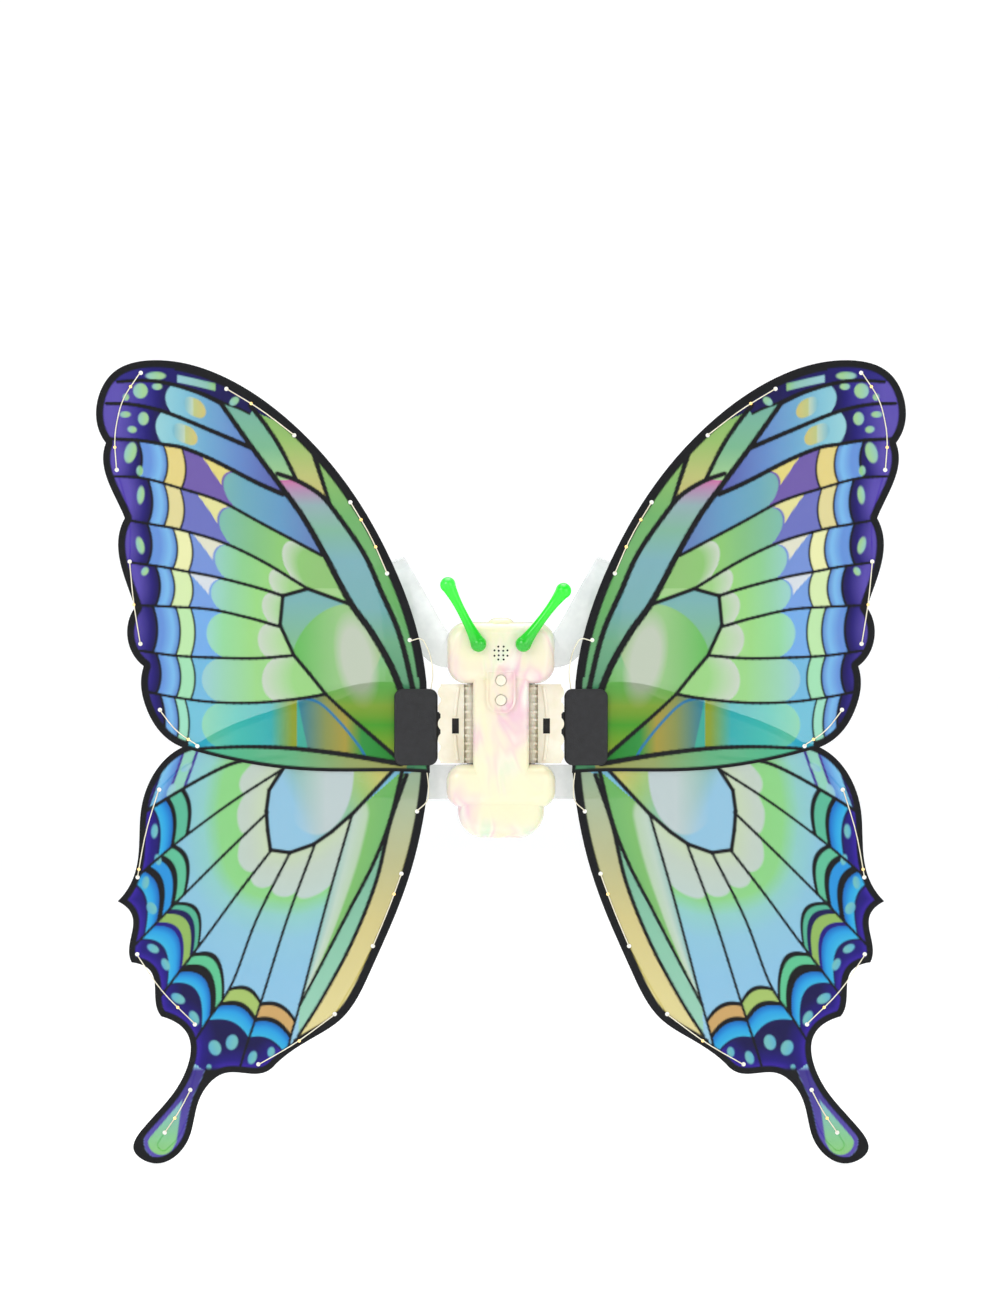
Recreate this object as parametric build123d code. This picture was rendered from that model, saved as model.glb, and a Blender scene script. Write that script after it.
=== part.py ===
from build123d import *
import math
import os

# Flapping, lit fairy wings worn on the back like a small rucksack, in millimetres.
# +Z is up, the wearer stands on the +Y side and the pack faces -Y.
# The origin is on the pack's flat back face, midway along the wing hinges' height.

# Pack: overall sizes
PACK_DEPTH = 46.0
PACK_WALL = 2.0
HEAD_HALF = 38.5
HEAD_BOTTOM = 30.0
HEAD_TOP = 74.0
HEAD_CORNER = 14.0
WAIST_HALF = 20.0
NECK_HALF = 13.4
LOBE_HALF = 39.0
LOBE_TOP = -28.0
LOBE_BOTTOM = -59.0
TAIL_HALF = 31.0
TAIL_CORNER = 20.0
FRONT_ROUND = 9.0
WAIST_ROUND = 4.0
SEAM_Z = -1.7

# Hinges and drive
HINGE_X = 22.0
HINGE_Y = -20.0
SHAFT_R = 2.5
RUNNING = 0.06
CLEAR = 0.3
GEAR_MODULE = 1.0
WHEEL_MODULE = 0.5
SECTOR_TEETH = 44
PINION_TEETH = 8
WHEEL_TEETH = 28
MOTOR_TEETH = 8
GEAR_Z = 64.0
GEAR_THICK = 3.0
WHEEL_THICK = 2.3
PLATE_THICK = 1.5
MOTOR_R = 7.0
MOTOR_LENGTH = 20.0
MOTOR_SHAFT_R = 0.8
AXLE_R = 1.0

# Wing sockets
SOCKET_IN = 28.0
SOCKET_OUT = 43.4
SOCKET_HALF_THICK = 8.0
SOCKET_GAP = 0.7
BARREL_R = 6.2
RIB_COUNT = 10
RIB_STAND = 1.6
RIB_HEIGHT = 1.8
SCALLOPS = 5
SCALLOP_DEPTH = 1.9
RIDGE_R = 150.0
RIDGE_X = 33.0
RIDGE_THICK = 2.6
TONGUE_HALF_HEIGHT = 10.0
TONGUE_THICK = 5.0
TONGUE_LENGTH = 16.0

# Wing roots and films
ROOT_IN = 45.6
ROOT_OUT = 76.8
ROOT_BOTTOM = -29.0
ROOT_TOP = 26.0
ROOT_CORNER = 6.0
ROOT_PLATE_THICK = 3.4
FILM_THICK = 0.4
FILM_GAP = 1.0
WIRE_R = 0.4
LAYER_STEP = 1.5
EYELET_R = 1.5
LED_R = 1.15

# Controls and fittings
BUTTON_R = 3.8
BUTTON_TRAVEL = 0.8
BUTTON_Z = (32.3, 18.2)
PAD_HALF = 10.3
PAD_TOP = 39.6
PAD_BOTTOM = 8.6
PAD_STAND = 1.0
SPEAKER_Z = 51.8
SPEAKER_R = 9.2
ANTENNA_X = 16.0
ANTENNA_Z = 58.3
ANTENNA_BASE_R = 5.8
ANTENNA_BALL_R = 5.6
ANTENNA_NECK_R = 3.2
ANTENNA_LENGTH = 47.5
ANTENNA_PIN_R = 2.2
ANTENNA_LEAN_LEFT = 27.4
ANTENNA_LEAN_RIGHT = 36.9
BATTERY_R = 5.25
BATTERY_LENGTH = 44.5
BATTERY_PITCH = 2 * BATTERY_R + 0.5
BATTERY_TOP_Z = -41.5
BATTERY_Y = -11.0
TRAY_HALF = 28.0
TRAY_WALL = 1.3
TRAY_BOTTOM = BATTERY_TOP_Z - 2 * BATTERY_PITCH - BATTERY_R - 0.1 - TRAY_WALL
TAIL_BOTTOM = TRAY_BOTTOM - 10.85
DOOR_HALF = 24.0
DOOR_TOP = -37.0
DOOR_BOTTOM = -66.0
SCREW_R = 1.15
SCREW_HEAD_R = 2.4
STRAP_WIDTH = 25.0
STRAP_THICK = 0.8
STRAP_BAR_R = 1.6
STRAP_SLOT_Y = -4.2


def block(x0, x1, y0, y1, z0, z1):
    """A box between two corners."""
    size = (x1 - x0, y1 - y0, z1 - z0)
    return Pos((x0 + x1) / 2, (y0 + y1) / 2, (z0 + z1) / 2) * Box(*size)


def upright(x, y, z0, z1, radius):
    """A round bar along Z."""
    return Pos(x, y, (z0 + z1) / 2) * Cylinder(radius, z1 - z0)


def across(x, z, y0, y1, radius):
    """A round bar along Y."""
    return Pos(x, (y0 + y1) / 2, z) * Rot(90, 0, 0) * Cylinder(radius, y1 - y0)


def sideways(y, z, x0, x1, radius):
    """A round bar along X."""
    return Pos((x0 + x1) / 2, y, z) * Rot(0, 90, 0) * Cylinder(radius, x1 - x0)


def front_slab(half, z0, z1, y0, y1, corner):
    """A slab centred on X = 0 whose outline in XZ has rounded corners."""
    outline = RectangleRounded(2 * half, z1 - z0, corner)
    slab = extrude(Plane.XZ * outline, y1 - y0)
    return Pos(0, y1, (z0 + z1) / 2) * slab


def pillow(half, z0, z1, depth, corner, round_front, inset=0.0):
    """A rounded shell block from the back face to its front, or its cavity when inset is given."""
    body = front_slab(half - inset, z0 + inset, z1 - inset, -depth + inset, -inset, corner - inset)
    front_edges = body.faces().sort_by(Axis.Y)[0].edges()
    return fillet(front_edges, round_front - min(inset, round_front / 2))


def mirrored(shape):
    """The left-hand twin of a right-hand piece."""
    return mirror(shape, about=Plane.YZ)


def group(pieces):
    """Separate solids kept in one node."""
    solids = []
    for piece in pieces:
        solids.extend(piece.solids())
    return Compound(children=solids)


# ---------------------------------------------------------------- pack shells

WAIST_FRONT = PACK_DEPTH - 2.0
WAIST_BACK = WAIST_FRONT - 12.5
LOBE_DEPTH = PACK_DEPTH - 2.0
TAIL_DEPTH = PACK_DEPTH - 5.0


def pack_form(inset=0.0):
    """The whole pack as overlapping pillows: head, waist, neck, lower lobe and tail."""
    reach = HEAD_CORNER
    head = pillow(HEAD_HALF, HEAD_BOTTOM, HEAD_TOP, PACK_DEPTH, HEAD_CORNER, FRONT_ROUND, inset)
    lobe = pillow(LOBE_HALF, LOBE_BOTTOM, LOBE_TOP, LOBE_DEPTH, 12.0, FRONT_ROUND, inset)
    tail = pillow(TAIL_HALF, TAIL_BOTTOM, LOBE_TOP - 6.0, TAIL_DEPTH, TAIL_CORNER, FRONT_ROUND, inset)
    bump = pillow(11.0, HEAD_TOP - 22.0, HEAD_TOP + 3.0, PACK_DEPTH - 4.0, 8.0, 5.0, inset)
    waist = block(-WAIST_HALF + inset, WAIST_HALF - inset, -WAIST_FRONT + inset, -WAIST_BACK - inset,
                  LOBE_TOP - reach, HEAD_BOTTOM + reach)
    waist = fillet(waist.faces().sort_by(Axis.Y)[0].edges().filter_by(Axis.Z), WAIST_ROUND - inset)
    neck = block(-NECK_HALF + inset, NECK_HALF - inset, -WAIST_BACK - 4.0, -inset,
                 LOBE_TOP - reach, HEAD_BOTTOM + reach)
    return head + lobe + tail + bump + waist + neck


def front_bosses():
    """Screw pillars that meet the rear cover at the split."""
    pillars = []
    for x, z in CASE_SCREWS:
        depth = TAIL_DEPTH if z < LOBE_BOTTOM else PACK_DEPTH
        pillars.append(across(x, z, FRONT_ROUND - depth, HINGE_Y, 3.0))
    return pillars


HEAD_SCREW = (HEAD_HALF - 6.9, HEAD_BOTTOM + 7.2)
TAIL_SCREW = (TAIL_HALF - 10.6, TAIL_BOTTOM + 7.1)
CASE_SCREWS = ((-HEAD_SCREW[0], HEAD_SCREW[1]), HEAD_SCREW, (-TAIL_SCREW[0], TAIL_SCREW[1]), TAIL_SCREW)
PAD_FRONT = PACK_DEPTH + PAD_STAND
PAD_FLOOR = PACK_DEPTH - 0.2
BUTTON_FLANGE_Y = -WAIST_FRONT + PACK_WALL + CLEAR


def button_pad():
    """The raised frame round the two buttons: flat at the top, round at the bottom."""
    outer = front_slab(PAD_HALF, PAD_BOTTOM, PAD_TOP, -PAD_FRONT, -WAIST_FRONT + PACK_WALL, PAD_HALF - 0.3)
    square = block(-PAD_HALF, PAD_HALF, -PAD_FRONT, -WAIST_FRONT + PACK_WALL, PAD_TOP - 12.0, PAD_TOP)
    inner = front_slab(PAD_HALF - 1.4, PAD_BOTTOM + 1.4, PAD_TOP - 1.4, -PAD_FRONT - 1.0, -PAD_FLOOR,
                       PAD_HALF - 1.8)
    inner_square = block(-PAD_HALF + 1.4, PAD_HALF - 1.4, -PAD_FRONT - 1.0, -PAD_FLOOR, PAD_TOP - 12.0,
                         PAD_TOP - 1.4)
    return outer + square - inner - inner_square


def shaft_holes():
    """Bearing holes for both hinge shafts through the head's floor and the lobe's roof."""
    holes = []
    for side in (-1, 1):
        holes.append(upright(side * HINGE_X, HINGE_Y, LOBE_TOP - PACK_WALL - 1.0, HEAD_BOTTOM + PACK_WALL + 1.0,
                             SHAFT_R + RUNNING))
    return holes


def cased(inside):
    """The pack form made hollow, with everything that both halves share."""
    shell = pack_form() - pack_form(PACK_WALL)
    for pillar in inside:
        shell += pillar
    for hole in shaft_holes():
        shell -= hole
    return shell


def front_shells():
    """The front moulding, in two pieces that meet at the waist seam."""
    inside = front_bosses() + [button_pad()]
    for side in (-1, 1):
        inside.append(across(side * ANTENNA_X, ANTENNA_Z, -PACK_DEPTH + 1.0, -PACK_DEPTH + 7.0, 5.0))
    shell = cased(inside)
    for side in (-1, 1):
        x = side * ANTENNA_X
        shell -= across(x, ANTENNA_Z, -PACK_DEPTH + PACK_WALL, -PACK_DEPTH + 8.0, 3.9)
        shell -= across(x, ANTENNA_Z, -PACK_DEPTH - 1.0, -PACK_DEPTH + PACK_WALL + 1.0, ANTENNA_PIN_R + RUNNING)
    for z in BUTTON_Z:
        shell -= across(0, z, -PAD_FRONT - 1.0, -WAIST_FRONT + PACK_WALL + 1.0, BUTTON_R + CLEAR)
        shell -= across(0, z, -WAIST_FRONT + PACK_WALL, BUTTON_FLANGE_Y + 2.0, BUTTON_R + 1.4)
    for count, ring in ((8, 5.0), (4, 2.3)):
        for step in range(count):
            angle = math.radians(360.0 / count * (step + 0.5))
            x = ring * math.cos(angle)
            z = SPEAKER_Z + ring * math.sin(angle)
            shell -= across(x, z, -PACK_DEPTH - 1.0, -PACK_DEPTH + PACK_WALL + 0.5, 0.75)
    for x, z in CASE_SCREWS:
        shell -= across(x, z, HINGE_Y - 12.0, HINGE_Y + 1.0, SCREW_R)
    front = shell & block(-90, 90, -90, HINGE_Y, -120, 120)
    head = front & block(-90, 90, -90, 0, SEAM_Z, 120)
    tail = front & block(-90, 90, -90, 0, -120, SEAM_Z)
    return head, tail


def strap_slot(side, centre_z):
    """The slit in the rear cover's side wall that a strap end passes through."""
    height = STRAP_WIDTH + 2 * CLEAR
    half = STRAP_THICK / 2 + CLEAR
    slot = block(STRAP_BAR_X + 0.1, STRAP_OUT + 1.5, STRAP_SLOT_Y - half, STRAP_SLOT_Y + half,
                 centre_z - height / 2, centre_z + height / 2)
    return slot if side > 0 else mirrored(slot)


STRAP_TOP_Z = 54.0
STRAP_LOW_Z = -41.5
STRAP_BAR_X = min(HEAD_HALF, LOBE_HALF) - 8.1
STRAP_OUT = max(HEAD_HALF, LOBE_HALF) + 1.5
STRAP_BAR_HALF = 11.0


def strap_lug(z):
    """One of the two lugs that hold the end of a strap bar."""
    face = STRAP_SLOT_Y - STRAP_THICK / 2 - 0.3
    arm = block(STRAP_BAR_X - 2.1, STRAP_BAR_X + 1.8, face - 2 * STRAP_BAR_R, face, z - 0.7, z + 0.7)
    return arm + block(STRAP_BAR_X - 2.1, STRAP_BAR_X - 0.3, face, -PACK_WALL + 0.5, z - 0.7, z + 0.7)


def rear_cover():
    """The flat back moulding with screw pillars, strap slits and the battery opening."""
    inside = []
    for x, z in CASE_SCREWS:
        inside.append(across(x, z, HINGE_Y, -PACK_WALL + 0.5, 3.0))
    inside.append(across(0, DOOR_SCREW_Z, -11.0, -PACK_WALL - 1.0, 2.2))
    inside.append(block(-9.0, 9.0, -6.0, -PACK_WALL + 0.5, DOOR_SCREW_Z - 1.2, DOOR_SCREW_Z + 1.2))
    for centre_z in (STRAP_TOP_Z, STRAP_LOW_Z):
        for end in (-1, 1):
            lug = strap_lug(centre_z + end * (STRAP_BAR_HALF + 0.7))
            inside.append(lug)
            inside.append(mirrored(lug))
    shell = cased(inside)
    for side in (-1, 1):
        shell -= strap_slot(side, STRAP_TOP_Z)
        shell -= strap_slot(side, STRAP_LOW_Z)
    for x, z in CASE_SCREWS:
        shell -= across(x, z, HINGE_Y - 1.0, 1.0, SCREW_R + 0.2)
        shell -= across(x, z, -3.0, 1.0, SCREW_HEAD_R + CLEAR)
    shell -= door_outline(CLEAR, -PACK_WALL - 1.0, 1.0)
    shell -= across(0, DOOR_SCREW_Z, -12.0, 1.0, SCREW_R + CLEAR)
    return shell & block(-90, 90, HINGE_Y, 90, -120, 120)


DOOR_SCREW_Z = DOOR_TOP + 4.4


def door_outline(grow, y0, y1):
    """The battery door's outline: a panel with a small screw tab on top."""
    panel = front_slab(DOOR_HALF + grow, DOOR_BOTTOM - grow, DOOR_TOP + grow, y0, y1, 3.0)
    tab = front_slab(5.0 + grow, DOOR_TOP - 6.0, DOOR_SCREW_Z + 4.0 + grow, y0, y1, 3.0)
    return panel + tab


def battery_door():
    """The lift-off battery door, flush with the back face, with finger ribs."""
    door = door_outline(0.0, -PACK_WALL, 0.0)
    for step in range(5):
        z = DOOR_BOTTOM + 5.0 + 2.6 * step
        door -= block(-9.0, 9.0, -0.7, 1.0, z - 0.5, z + 0.5)
    door -= across(0, DOOR_SCREW_Z, -PACK_WALL - 1.0, 1.0, SCREW_R + 0.1)
    door -= across(0, DOOR_SCREW_Z, -1.5, 1.0, SCREW_HEAD_R + 0.1)
    return door


def cross_screw(x, z, head_back, length):
    """A countersunk screw seen from the back, with a cross recess."""
    screw = across(x, z, head_back - 1.4, head_back, SCREW_HEAD_R)
    screw += across(x, z, head_back - length, head_back - 1.0, SCREW_R)
    screw -= block(x - 1.5, x + 1.5, head_back - 0.7, head_back + 1.0, z - 0.3, z + 0.3)
    screw -= block(x - 0.3, x + 0.3, head_back - 0.7, head_back + 1.0, z - 1.5, z + 1.5)
    return screw


def case_screws():
    return group([cross_screw(x, z, -1.6, 28.0) for x, z in CASE_SCREWS])


def door_screw():
    return cross_screw(0, DOOR_SCREW_Z, -0.1, 8.0)


# ---------------------------------------------------------------- controls, sound and power

BOARD_FRONT = -PACK_DEPTH + 10.0
BOARD_THICK = 1.6
SWITCH_HEIGHT = 3.0


def button(z):
    """A round push button with a retaining flange."""
    cap = across(0, z, -PAD_FRONT - 0.5, BUTTON_FLANGE_Y + 0.2, BUTTON_R)
    cap = fillet(cap.faces().sort_by(Axis.Y)[0].edges(), 0.8)
    return cap + across(0, z, BUTTON_FLANGE_Y, BUTTON_FLANGE_Y + 1.0, BUTTON_R + 1.1)


def circuit_board():
    """The control board behind the buttons, with a chip and two resistors."""
    board = block(-14, 14, BOARD_FRONT, BOARD_FRONT + BOARD_THICK, -22, BUTTON_Z[0] + 4.5)
    board += block(-4.5, 4.5, BOARD_FRONT - 1.5, BOARD_FRONT, -8, 4)
    board += block(8, 10, BOARD_FRONT - 0.8, BOARD_FRONT, -15, -11)
    board += block(-10, -8, BOARD_FRONT - 0.8, BOARD_FRONT, -15, -11)
    return board


def tact_switches():
    """Two click switches under the buttons."""
    pieces = []
    for z in BUTTON_Z:
        body = block(-3, 3, BOARD_FRONT - SWITCH_HEIGHT, BOARD_FRONT, z - 3, z + 3)
        plunger_end = BUTTON_FLANGE_Y + 1.0 + BUTTON_TRAVEL + 0.15
        pieces.append(body + across(0, z, plunger_end, BOARD_FRONT - 1.0, 1.6))
    return group(pieces)


def speaker():
    """A small round speaker behind the grille: basket, cone and magnet."""
    front = -PACK_DEPTH + PACK_WALL + 0.2
    basket = across(0, SPEAKER_Z, front, front + 1.8, SPEAKER_R)
    basket -= across(0, SPEAKER_Z, front - 1.0, front + 0.9, SPEAKER_R - 1.4)
    return basket + across(0, SPEAKER_Z, front + 1.7, front + 3.6, 5.5)


def antenna_leds():
    """A light at the foot of each antenna, pressed into the shell's rings."""
    pieces = []
    for side in (-1, 1):
        x = side * ANTENNA_X
        base = across(x, ANTENNA_Z, -PACK_DEPTH + 5.2, -PACK_DEPTH + 6.6, 3.85)
        pieces.append(base + across(x, ANTENNA_Z, -PACK_DEPTH + 4.4, -PACK_DEPTH + 5.3, 1.5))
    return group(pieces)


def antenna(side, lean):
    """A club-shaped clear antenna on a pin through the head's front wall."""
    rise = ANTENNA_LENGTH
    flank = Spline((ANTENNA_BASE_R, 0), (ANTENNA_NECK_R + 0.9, 9), (ANTENNA_NECK_R, 22),
                   (ANTENNA_NECK_R + 0.7, rise - 9), (ANTENNA_BALL_R, rise))
    profile = make_face([Line((0, 0), flank @ 0), flank, Line(flank @ 1, (0, rise)), Line((0, rise), (0, 0))])
    club = Rot(90, 0, 0) * revolve(profile, Axis.Y)
    club = club + Sphere(ANTENNA_BASE_R) + Pos(0, 0, rise) * Sphere(ANTENNA_BALL_R)
    club = Pos(side * ANTENNA_X, -PACK_DEPTH - 3.6, ANTENNA_Z) * Rot(0, side * lean, 0) * club
    club = club & block(-90, 90, -90, -PACK_DEPTH - CLEAR, 0, 200)
    x = side * ANTENNA_X
    pin = across(x, ANTENNA_Z, -PACK_DEPTH - 1.5, -PACK_DEPTH + PACK_WALL + 0.5, ANTENNA_PIN_R)
    collar = across(x, ANTENNA_Z, -PACK_DEPTH + PACK_WALL + CLEAR, -PACK_DEPTH + PACK_WALL + 1.5, 3.4)
    return club + pin + collar


def battery_tray():
    """The open box behind the door that holds three cells."""
    top = BATTERY_TOP_Z + BATTERY_R + 0.1
    bottom = BATTERY_TOP_Z - 2 * BATTERY_PITCH - BATTERY_R - 0.1
    front = BATTERY_Y - BATTERY_R - 0.3
    back = -PACK_WALL - 1.0
    tray = front_slab(TRAY_HALF, bottom - TRAY_WALL, top + TRAY_WALL, front - TRAY_WALL, back, 5.0)
    return tray - front_slab(TRAY_HALF - TRAY_WALL, bottom, top, front, back + 1.0, 3.5)


def batteries():
    """Three slim cells lying across the pack, each with its terminal nub."""
    cells = []
    for step in range(3):
        z = BATTERY_TOP_Z - step * BATTERY_PITCH
        turn = 1 if step % 2 else -1
        half = BATTERY_LENGTH / 2
        cell = sideways(BATTERY_Y, z, -half + 0.6, half - 0.6, BATTERY_R)
        nub = sideways(BATTERY_Y, z, half - 0.7, half, 1.9)
        cells.append(cell + (nub if turn > 0 else mirrored(nub)))
    return group(cells)


def battery_contacts():
    """A flat contact at one end of each cell and a coiled one at the other."""
    pieces = []
    wall = TRAY_HALF - TRAY_WALL
    for step in range(3):
        z = BATTERY_TOP_Z - step * BATTERY_PITCH
        turn = 1 if step % 2 else -1
        plate = block(wall - 0.5, wall, BATTERY_Y - 3.5, BATTERY_Y + 3.5, z - 1.7, z + 1.7)
        flat = plate + sideways(BATTERY_Y, z, BATTERY_LENGTH / 2 + 0.1, wall - 0.4, 1.6)
        coil = plate
        for ring in range(4):
            x = wall - 0.9 - 0.85 * ring
            coil += Pos(x, BATTERY_Y, z) * Rot(0, 90, 0) * Torus(3.0 - 0.35 * ring, 0.5)
        pieces.append(flat if turn > 0 else mirrored(flat))
        pieces.append(mirrored(coil) if turn > 0 else coil)
    return group(pieces)


# ---------------------------------------------------------------- drive

SECTOR_R = GEAR_MODULE * SECTOR_TEETH / 2
PINION_R = GEAR_MODULE * PINION_TEETH / 2
WHEEL_R = WHEEL_MODULE * WHEEL_TEETH / 2
MOTOR_PINION_R = WHEEL_MODULE * MOTOR_TEETH / 2
PINION_DIRECTION = 180 + 360.0 / SECTOR_TEETH * 4.5
PINION_X = HINGE_X + (SECTOR_R + PINION_R) * math.cos(math.radians(PINION_DIRECTION))
PINION_Y = HINGE_Y + (SECTOR_R + PINION_R) * math.sin(math.radians(PINION_DIRECTION))
MOTOR_DIRECTION = 60.0
MOTOR_X = PINION_X + (WHEEL_R + MOTOR_PINION_R) * math.cos(math.radians(MOTOR_DIRECTION))
MOTOR_Y = PINION_Y + (WHEEL_R + MOTOR_PINION_R) * math.sin(math.radians(MOTOR_DIRECTION))
WHEEL_Z = GEAR_Z - WHEEL_THICK - 0.4
PLATE_Z = WHEEL_Z - 0.5 - PLATE_THICK


def tooth_points(pitch_r, module, angle):
    """The four corners of one slim trapezoid tooth pointing along an angle in degrees."""
    points = []
    for radius, half in ((pitch_r - 1.3 * module, 0.8), (pitch_r + 0.8 * module, 0.3)):
        for side in (-1, 1):
            turn = math.radians(angle) + side * half * module / radius
            points.append((radius * math.cos(turn), radius * math.sin(turn)))
    return [points[0], points[2], points[3], points[1]]


def gear_sketch(pitch_r, module, teeth, first, count):
    """A gear outline round the origin; first is the direction of the first tooth."""
    outline = Sketch() + Circle(pitch_r - 1.1 * module)
    for step in range(count):
        angle = first + 360.0 / teeth * step
        outline += make_face(Polyline(*tooth_points(pitch_r, module, angle), close=True).edges())
    return outline


def sector_gear(side):
    """A hinge's sector gear: teeth only where it meets its twin and the drive pinion."""
    pitch = 360.0 / SECTOR_TEETH
    first = 180 - pitch if side > 0 else -pitch * 5.5
    count = 12 if side > 0 else 8
    last = first + pitch * (count - 1)
    gear = extrude(gear_sketch(SECTOR_R, GEAR_MODULE, SECTOR_TEETH, first, count), GEAR_THICK)
    reach = 2 * SECTOR_R
    corners = [(0, 0)]
    for angle in (first - 2.5, (2 * first + last) / 3, (first + 2 * last) / 3, last + 2.5):
        corners.append((reach * math.cos(math.radians(angle)), reach * math.sin(math.radians(angle))))
    wedge = extrude(make_face(Polyline(*corners, close=True).edges()), GEAR_THICK)
    hub = Pos(0, 0, GEAR_THICK / 2) * Cylinder(SHAFT_R + 2.5, GEAR_THICK)
    gear = (gear & wedge) + hub - Pos(0, 0, GEAR_THICK / 2) * Cylinder(SHAFT_R, GEAR_THICK + 2)
    return Pos(side * HINGE_X, HINGE_Y, GEAR_Z) * gear


def compound_gear():
    """The idler: a coarse pinion below a fine wheel, on a fixed axle."""
    toward_sector = PINION_DIRECTION - 180
    height = GEAR_Z + GEAR_THICK - WHEEL_Z
    pinion = extrude(gear_sketch(PINION_R, GEAR_MODULE, PINION_TEETH, toward_sector, PINION_TEETH), height)
    pinion -= block(-9, 9, -9, 9, -1, WHEEL_THICK)
    wheel = extrude(gear_sketch(WHEEL_R, WHEEL_MODULE, WHEEL_TEETH, MOTOR_DIRECTION, WHEEL_TEETH), WHEEL_THICK)
    gear = pinion + wheel - Cylinder(AXLE_R + RUNNING, 30)
    return Pos(PINION_X, PINION_Y, WHEEL_Z) * gear


def motor_pinion():
    """The motor's small brass pinion and the shaft it is pressed on."""
    first = MOTOR_DIRECTION + 180 + 180.0 / MOTOR_TEETH
    pinion = extrude(gear_sketch(MOTOR_PINION_R, WHEEL_MODULE, MOTOR_TEETH, first, MOTOR_TEETH), WHEEL_THICK)
    stem = upright(0, 0, PLATE_Z - 4.0 - WHEEL_Z, 1.0, MOTOR_SHAFT_R)
    return Pos(MOTOR_X, MOTOR_Y, WHEEL_Z) * (pinion + stem)


def motor():
    """The small can motor under the gear plate."""
    body = upright(0, 0, -MOTOR_LENGTH, 0, MOTOR_R)
    body &= block(-MOTOR_R, MOTOR_R, -MOTOR_R + 1.2, MOTOR_R - 1.2, -MOTOR_LENGTH, 0)
    body += upright(0, 0, -MOTOR_LENGTH - 1.5, -MOTOR_LENGTH + 1, 2.5)
    body -= upright(0, 0, -5.0, 1.0, MOTOR_SHAFT_R + RUNNING)
    return Pos(MOTOR_X, MOTOR_Y, PLATE_Z) * body


def gear_plate():
    """The plate across the head that carries the motor, the idler's axle and both shafts."""
    half = HEAD_HALF - PACK_WALL - 0.6
    plate = block(-half, half, -38.5, -PACK_WALL - 0.3, PLATE_Z, PLATE_Z + PLATE_THICK)
    plate -= upright(MOTOR_X, MOTOR_Y, PLATE_Z - 1, PLATE_Z + 3, 1.5)
    plate -= upright(PINION_X, PINION_Y, PLATE_Z - 1, PLATE_Z + 3, AXLE_R)
    for side in (-1, 1):
        corner = side * (STRAP_BAR_X - 3.0)
        plate -= block(min(corner, 2 * corner), max(corner, 2 * corner), -10.0, 1.0, PLATE_Z - 1, PLATE_Z + 3)
    for side in (-1, 1):
        plate -= upright(side * HINGE_X, HINGE_Y, PLATE_Z - 1, PLATE_Z + 3, SHAFT_R + RUNNING)
    return plate


def gear_axle():
    return upright(PINION_X, PINION_Y, PLATE_Z, GEAR_Z + GEAR_THICK + 2.0, AXLE_R)


# ---------------------------------------------------------------- wing sockets (right-hand side)

SOCKET_BOTTOM = LOBE_TOP + SOCKET_GAP
SOCKET_TOP = HEAD_BOTTOM - SOCKET_GAP
SOCKET_FRONT = HINGE_Y - SOCKET_HALF_THICK
SOCKET_BACK = HINGE_Y + SOCKET_HALF_THICK
SOCKET_SCREWS = ((38.5, SOCKET_TOP - 7.0), (38.5, SOCKET_BOTTOM + 7.0))
TONGUE_IN = ROOT_IN - TONGUE_LENGTH
TONGUE_Z = -0.6


def socket_form():
    """The swinging socket: scalloped outer edge, and a ribbed barrel round the hinge."""
    form = block(SOCKET_IN - 1.5, SOCKET_OUT, SOCKET_FRONT, SOCKET_BACK, SOCKET_BOTTOM, SOCKET_TOP)
    pitch = (SOCKET_TOP - SOCKET_BOTTOM) / SCALLOPS
    for step in range(SCALLOPS):
        z = SOCKET_BOTTOM + pitch * (step + 0.5)
        form += across(SOCKET_OUT + SCALLOP_DEPTH - pitch / 2, z, SOCKET_FRONT, SOCKET_BACK, pitch / 2)
    form = form & block(0, ROOT_IN - CLEAR, -90, 90, -90, 90)
    form += upright(HINGE_X, HINGE_Y, SOCKET_BOTTOM, SOCKET_TOP, BARREL_R)
    rib_pitch = (SOCKET_TOP - SOCKET_BOTTOM) / RIB_COUNT
    for step in range(RIB_COUNT):
        z = SOCKET_BOTTOM + rib_pitch * (step + 0.5)
        form += upright(HINGE_X, HINGE_Y, z - RIB_HEIGHT / 2, z + RIB_HEIGHT / 2, BARREL_R + RIB_STAND)
    return form


def socket_half(front):
    """One half of the socket's case, split across the hinge."""
    half = socket_form()
    half -= upright(HINGE_X, HINGE_Y, -90, 90, SHAFT_R)
    slot_half = TONGUE_THICK / 2 + CLEAR
    half -= block(TONGUE_IN - 0.6, 90, HINGE_Y - slot_half, HINGE_Y + slot_half,
                  TONGUE_Z - TONGUE_HALF_HEIGHT - CLEAR, TONGUE_Z + TONGUE_HALF_HEIGHT + CLEAR)
    for x, z in SOCKET_SCREWS:
        half -= across(x, z, SOCKET_FRONT + 4.0, SOCKET_BACK - 3.0, SCREW_R)
        half -= across(x, z, SOCKET_BACK - 3.1, SOCKET_BACK + 1.0, SCREW_HEAD_R + 0.1)
    if front:
        half -= block(TONGUE_IN + 0.6, TONGUE_IN + 5.6, -90, HINGE_Y, TONGUE_Z - 5.5, TONGUE_Z + 5.5)
        ridge = Pos(RIDGE_X - RIDGE_R, SOCKET_FRONT, TONGUE_Z) * Rot(90, 0, 0) * Torus(RIDGE_R, RIDGE_THICK / 2)
        ridge &= block(SOCKET_IN - 1, SOCKET_OUT, -90, 90, SOCKET_BOTTOM + 2.0, SOCKET_TOP - 2.0)
        window = block(TONGUE_IN - 0.6, TONGUE_IN + 6.8, -90, 90, TONGUE_Z - 6.7, TONGUE_Z + 6.7)
        half += ridge - window
        return half & block(-90, 90, -90, HINGE_Y, -90, 90)
    return half & block(-90, 90, HINGE_Y, 90, -90, 90)


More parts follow.
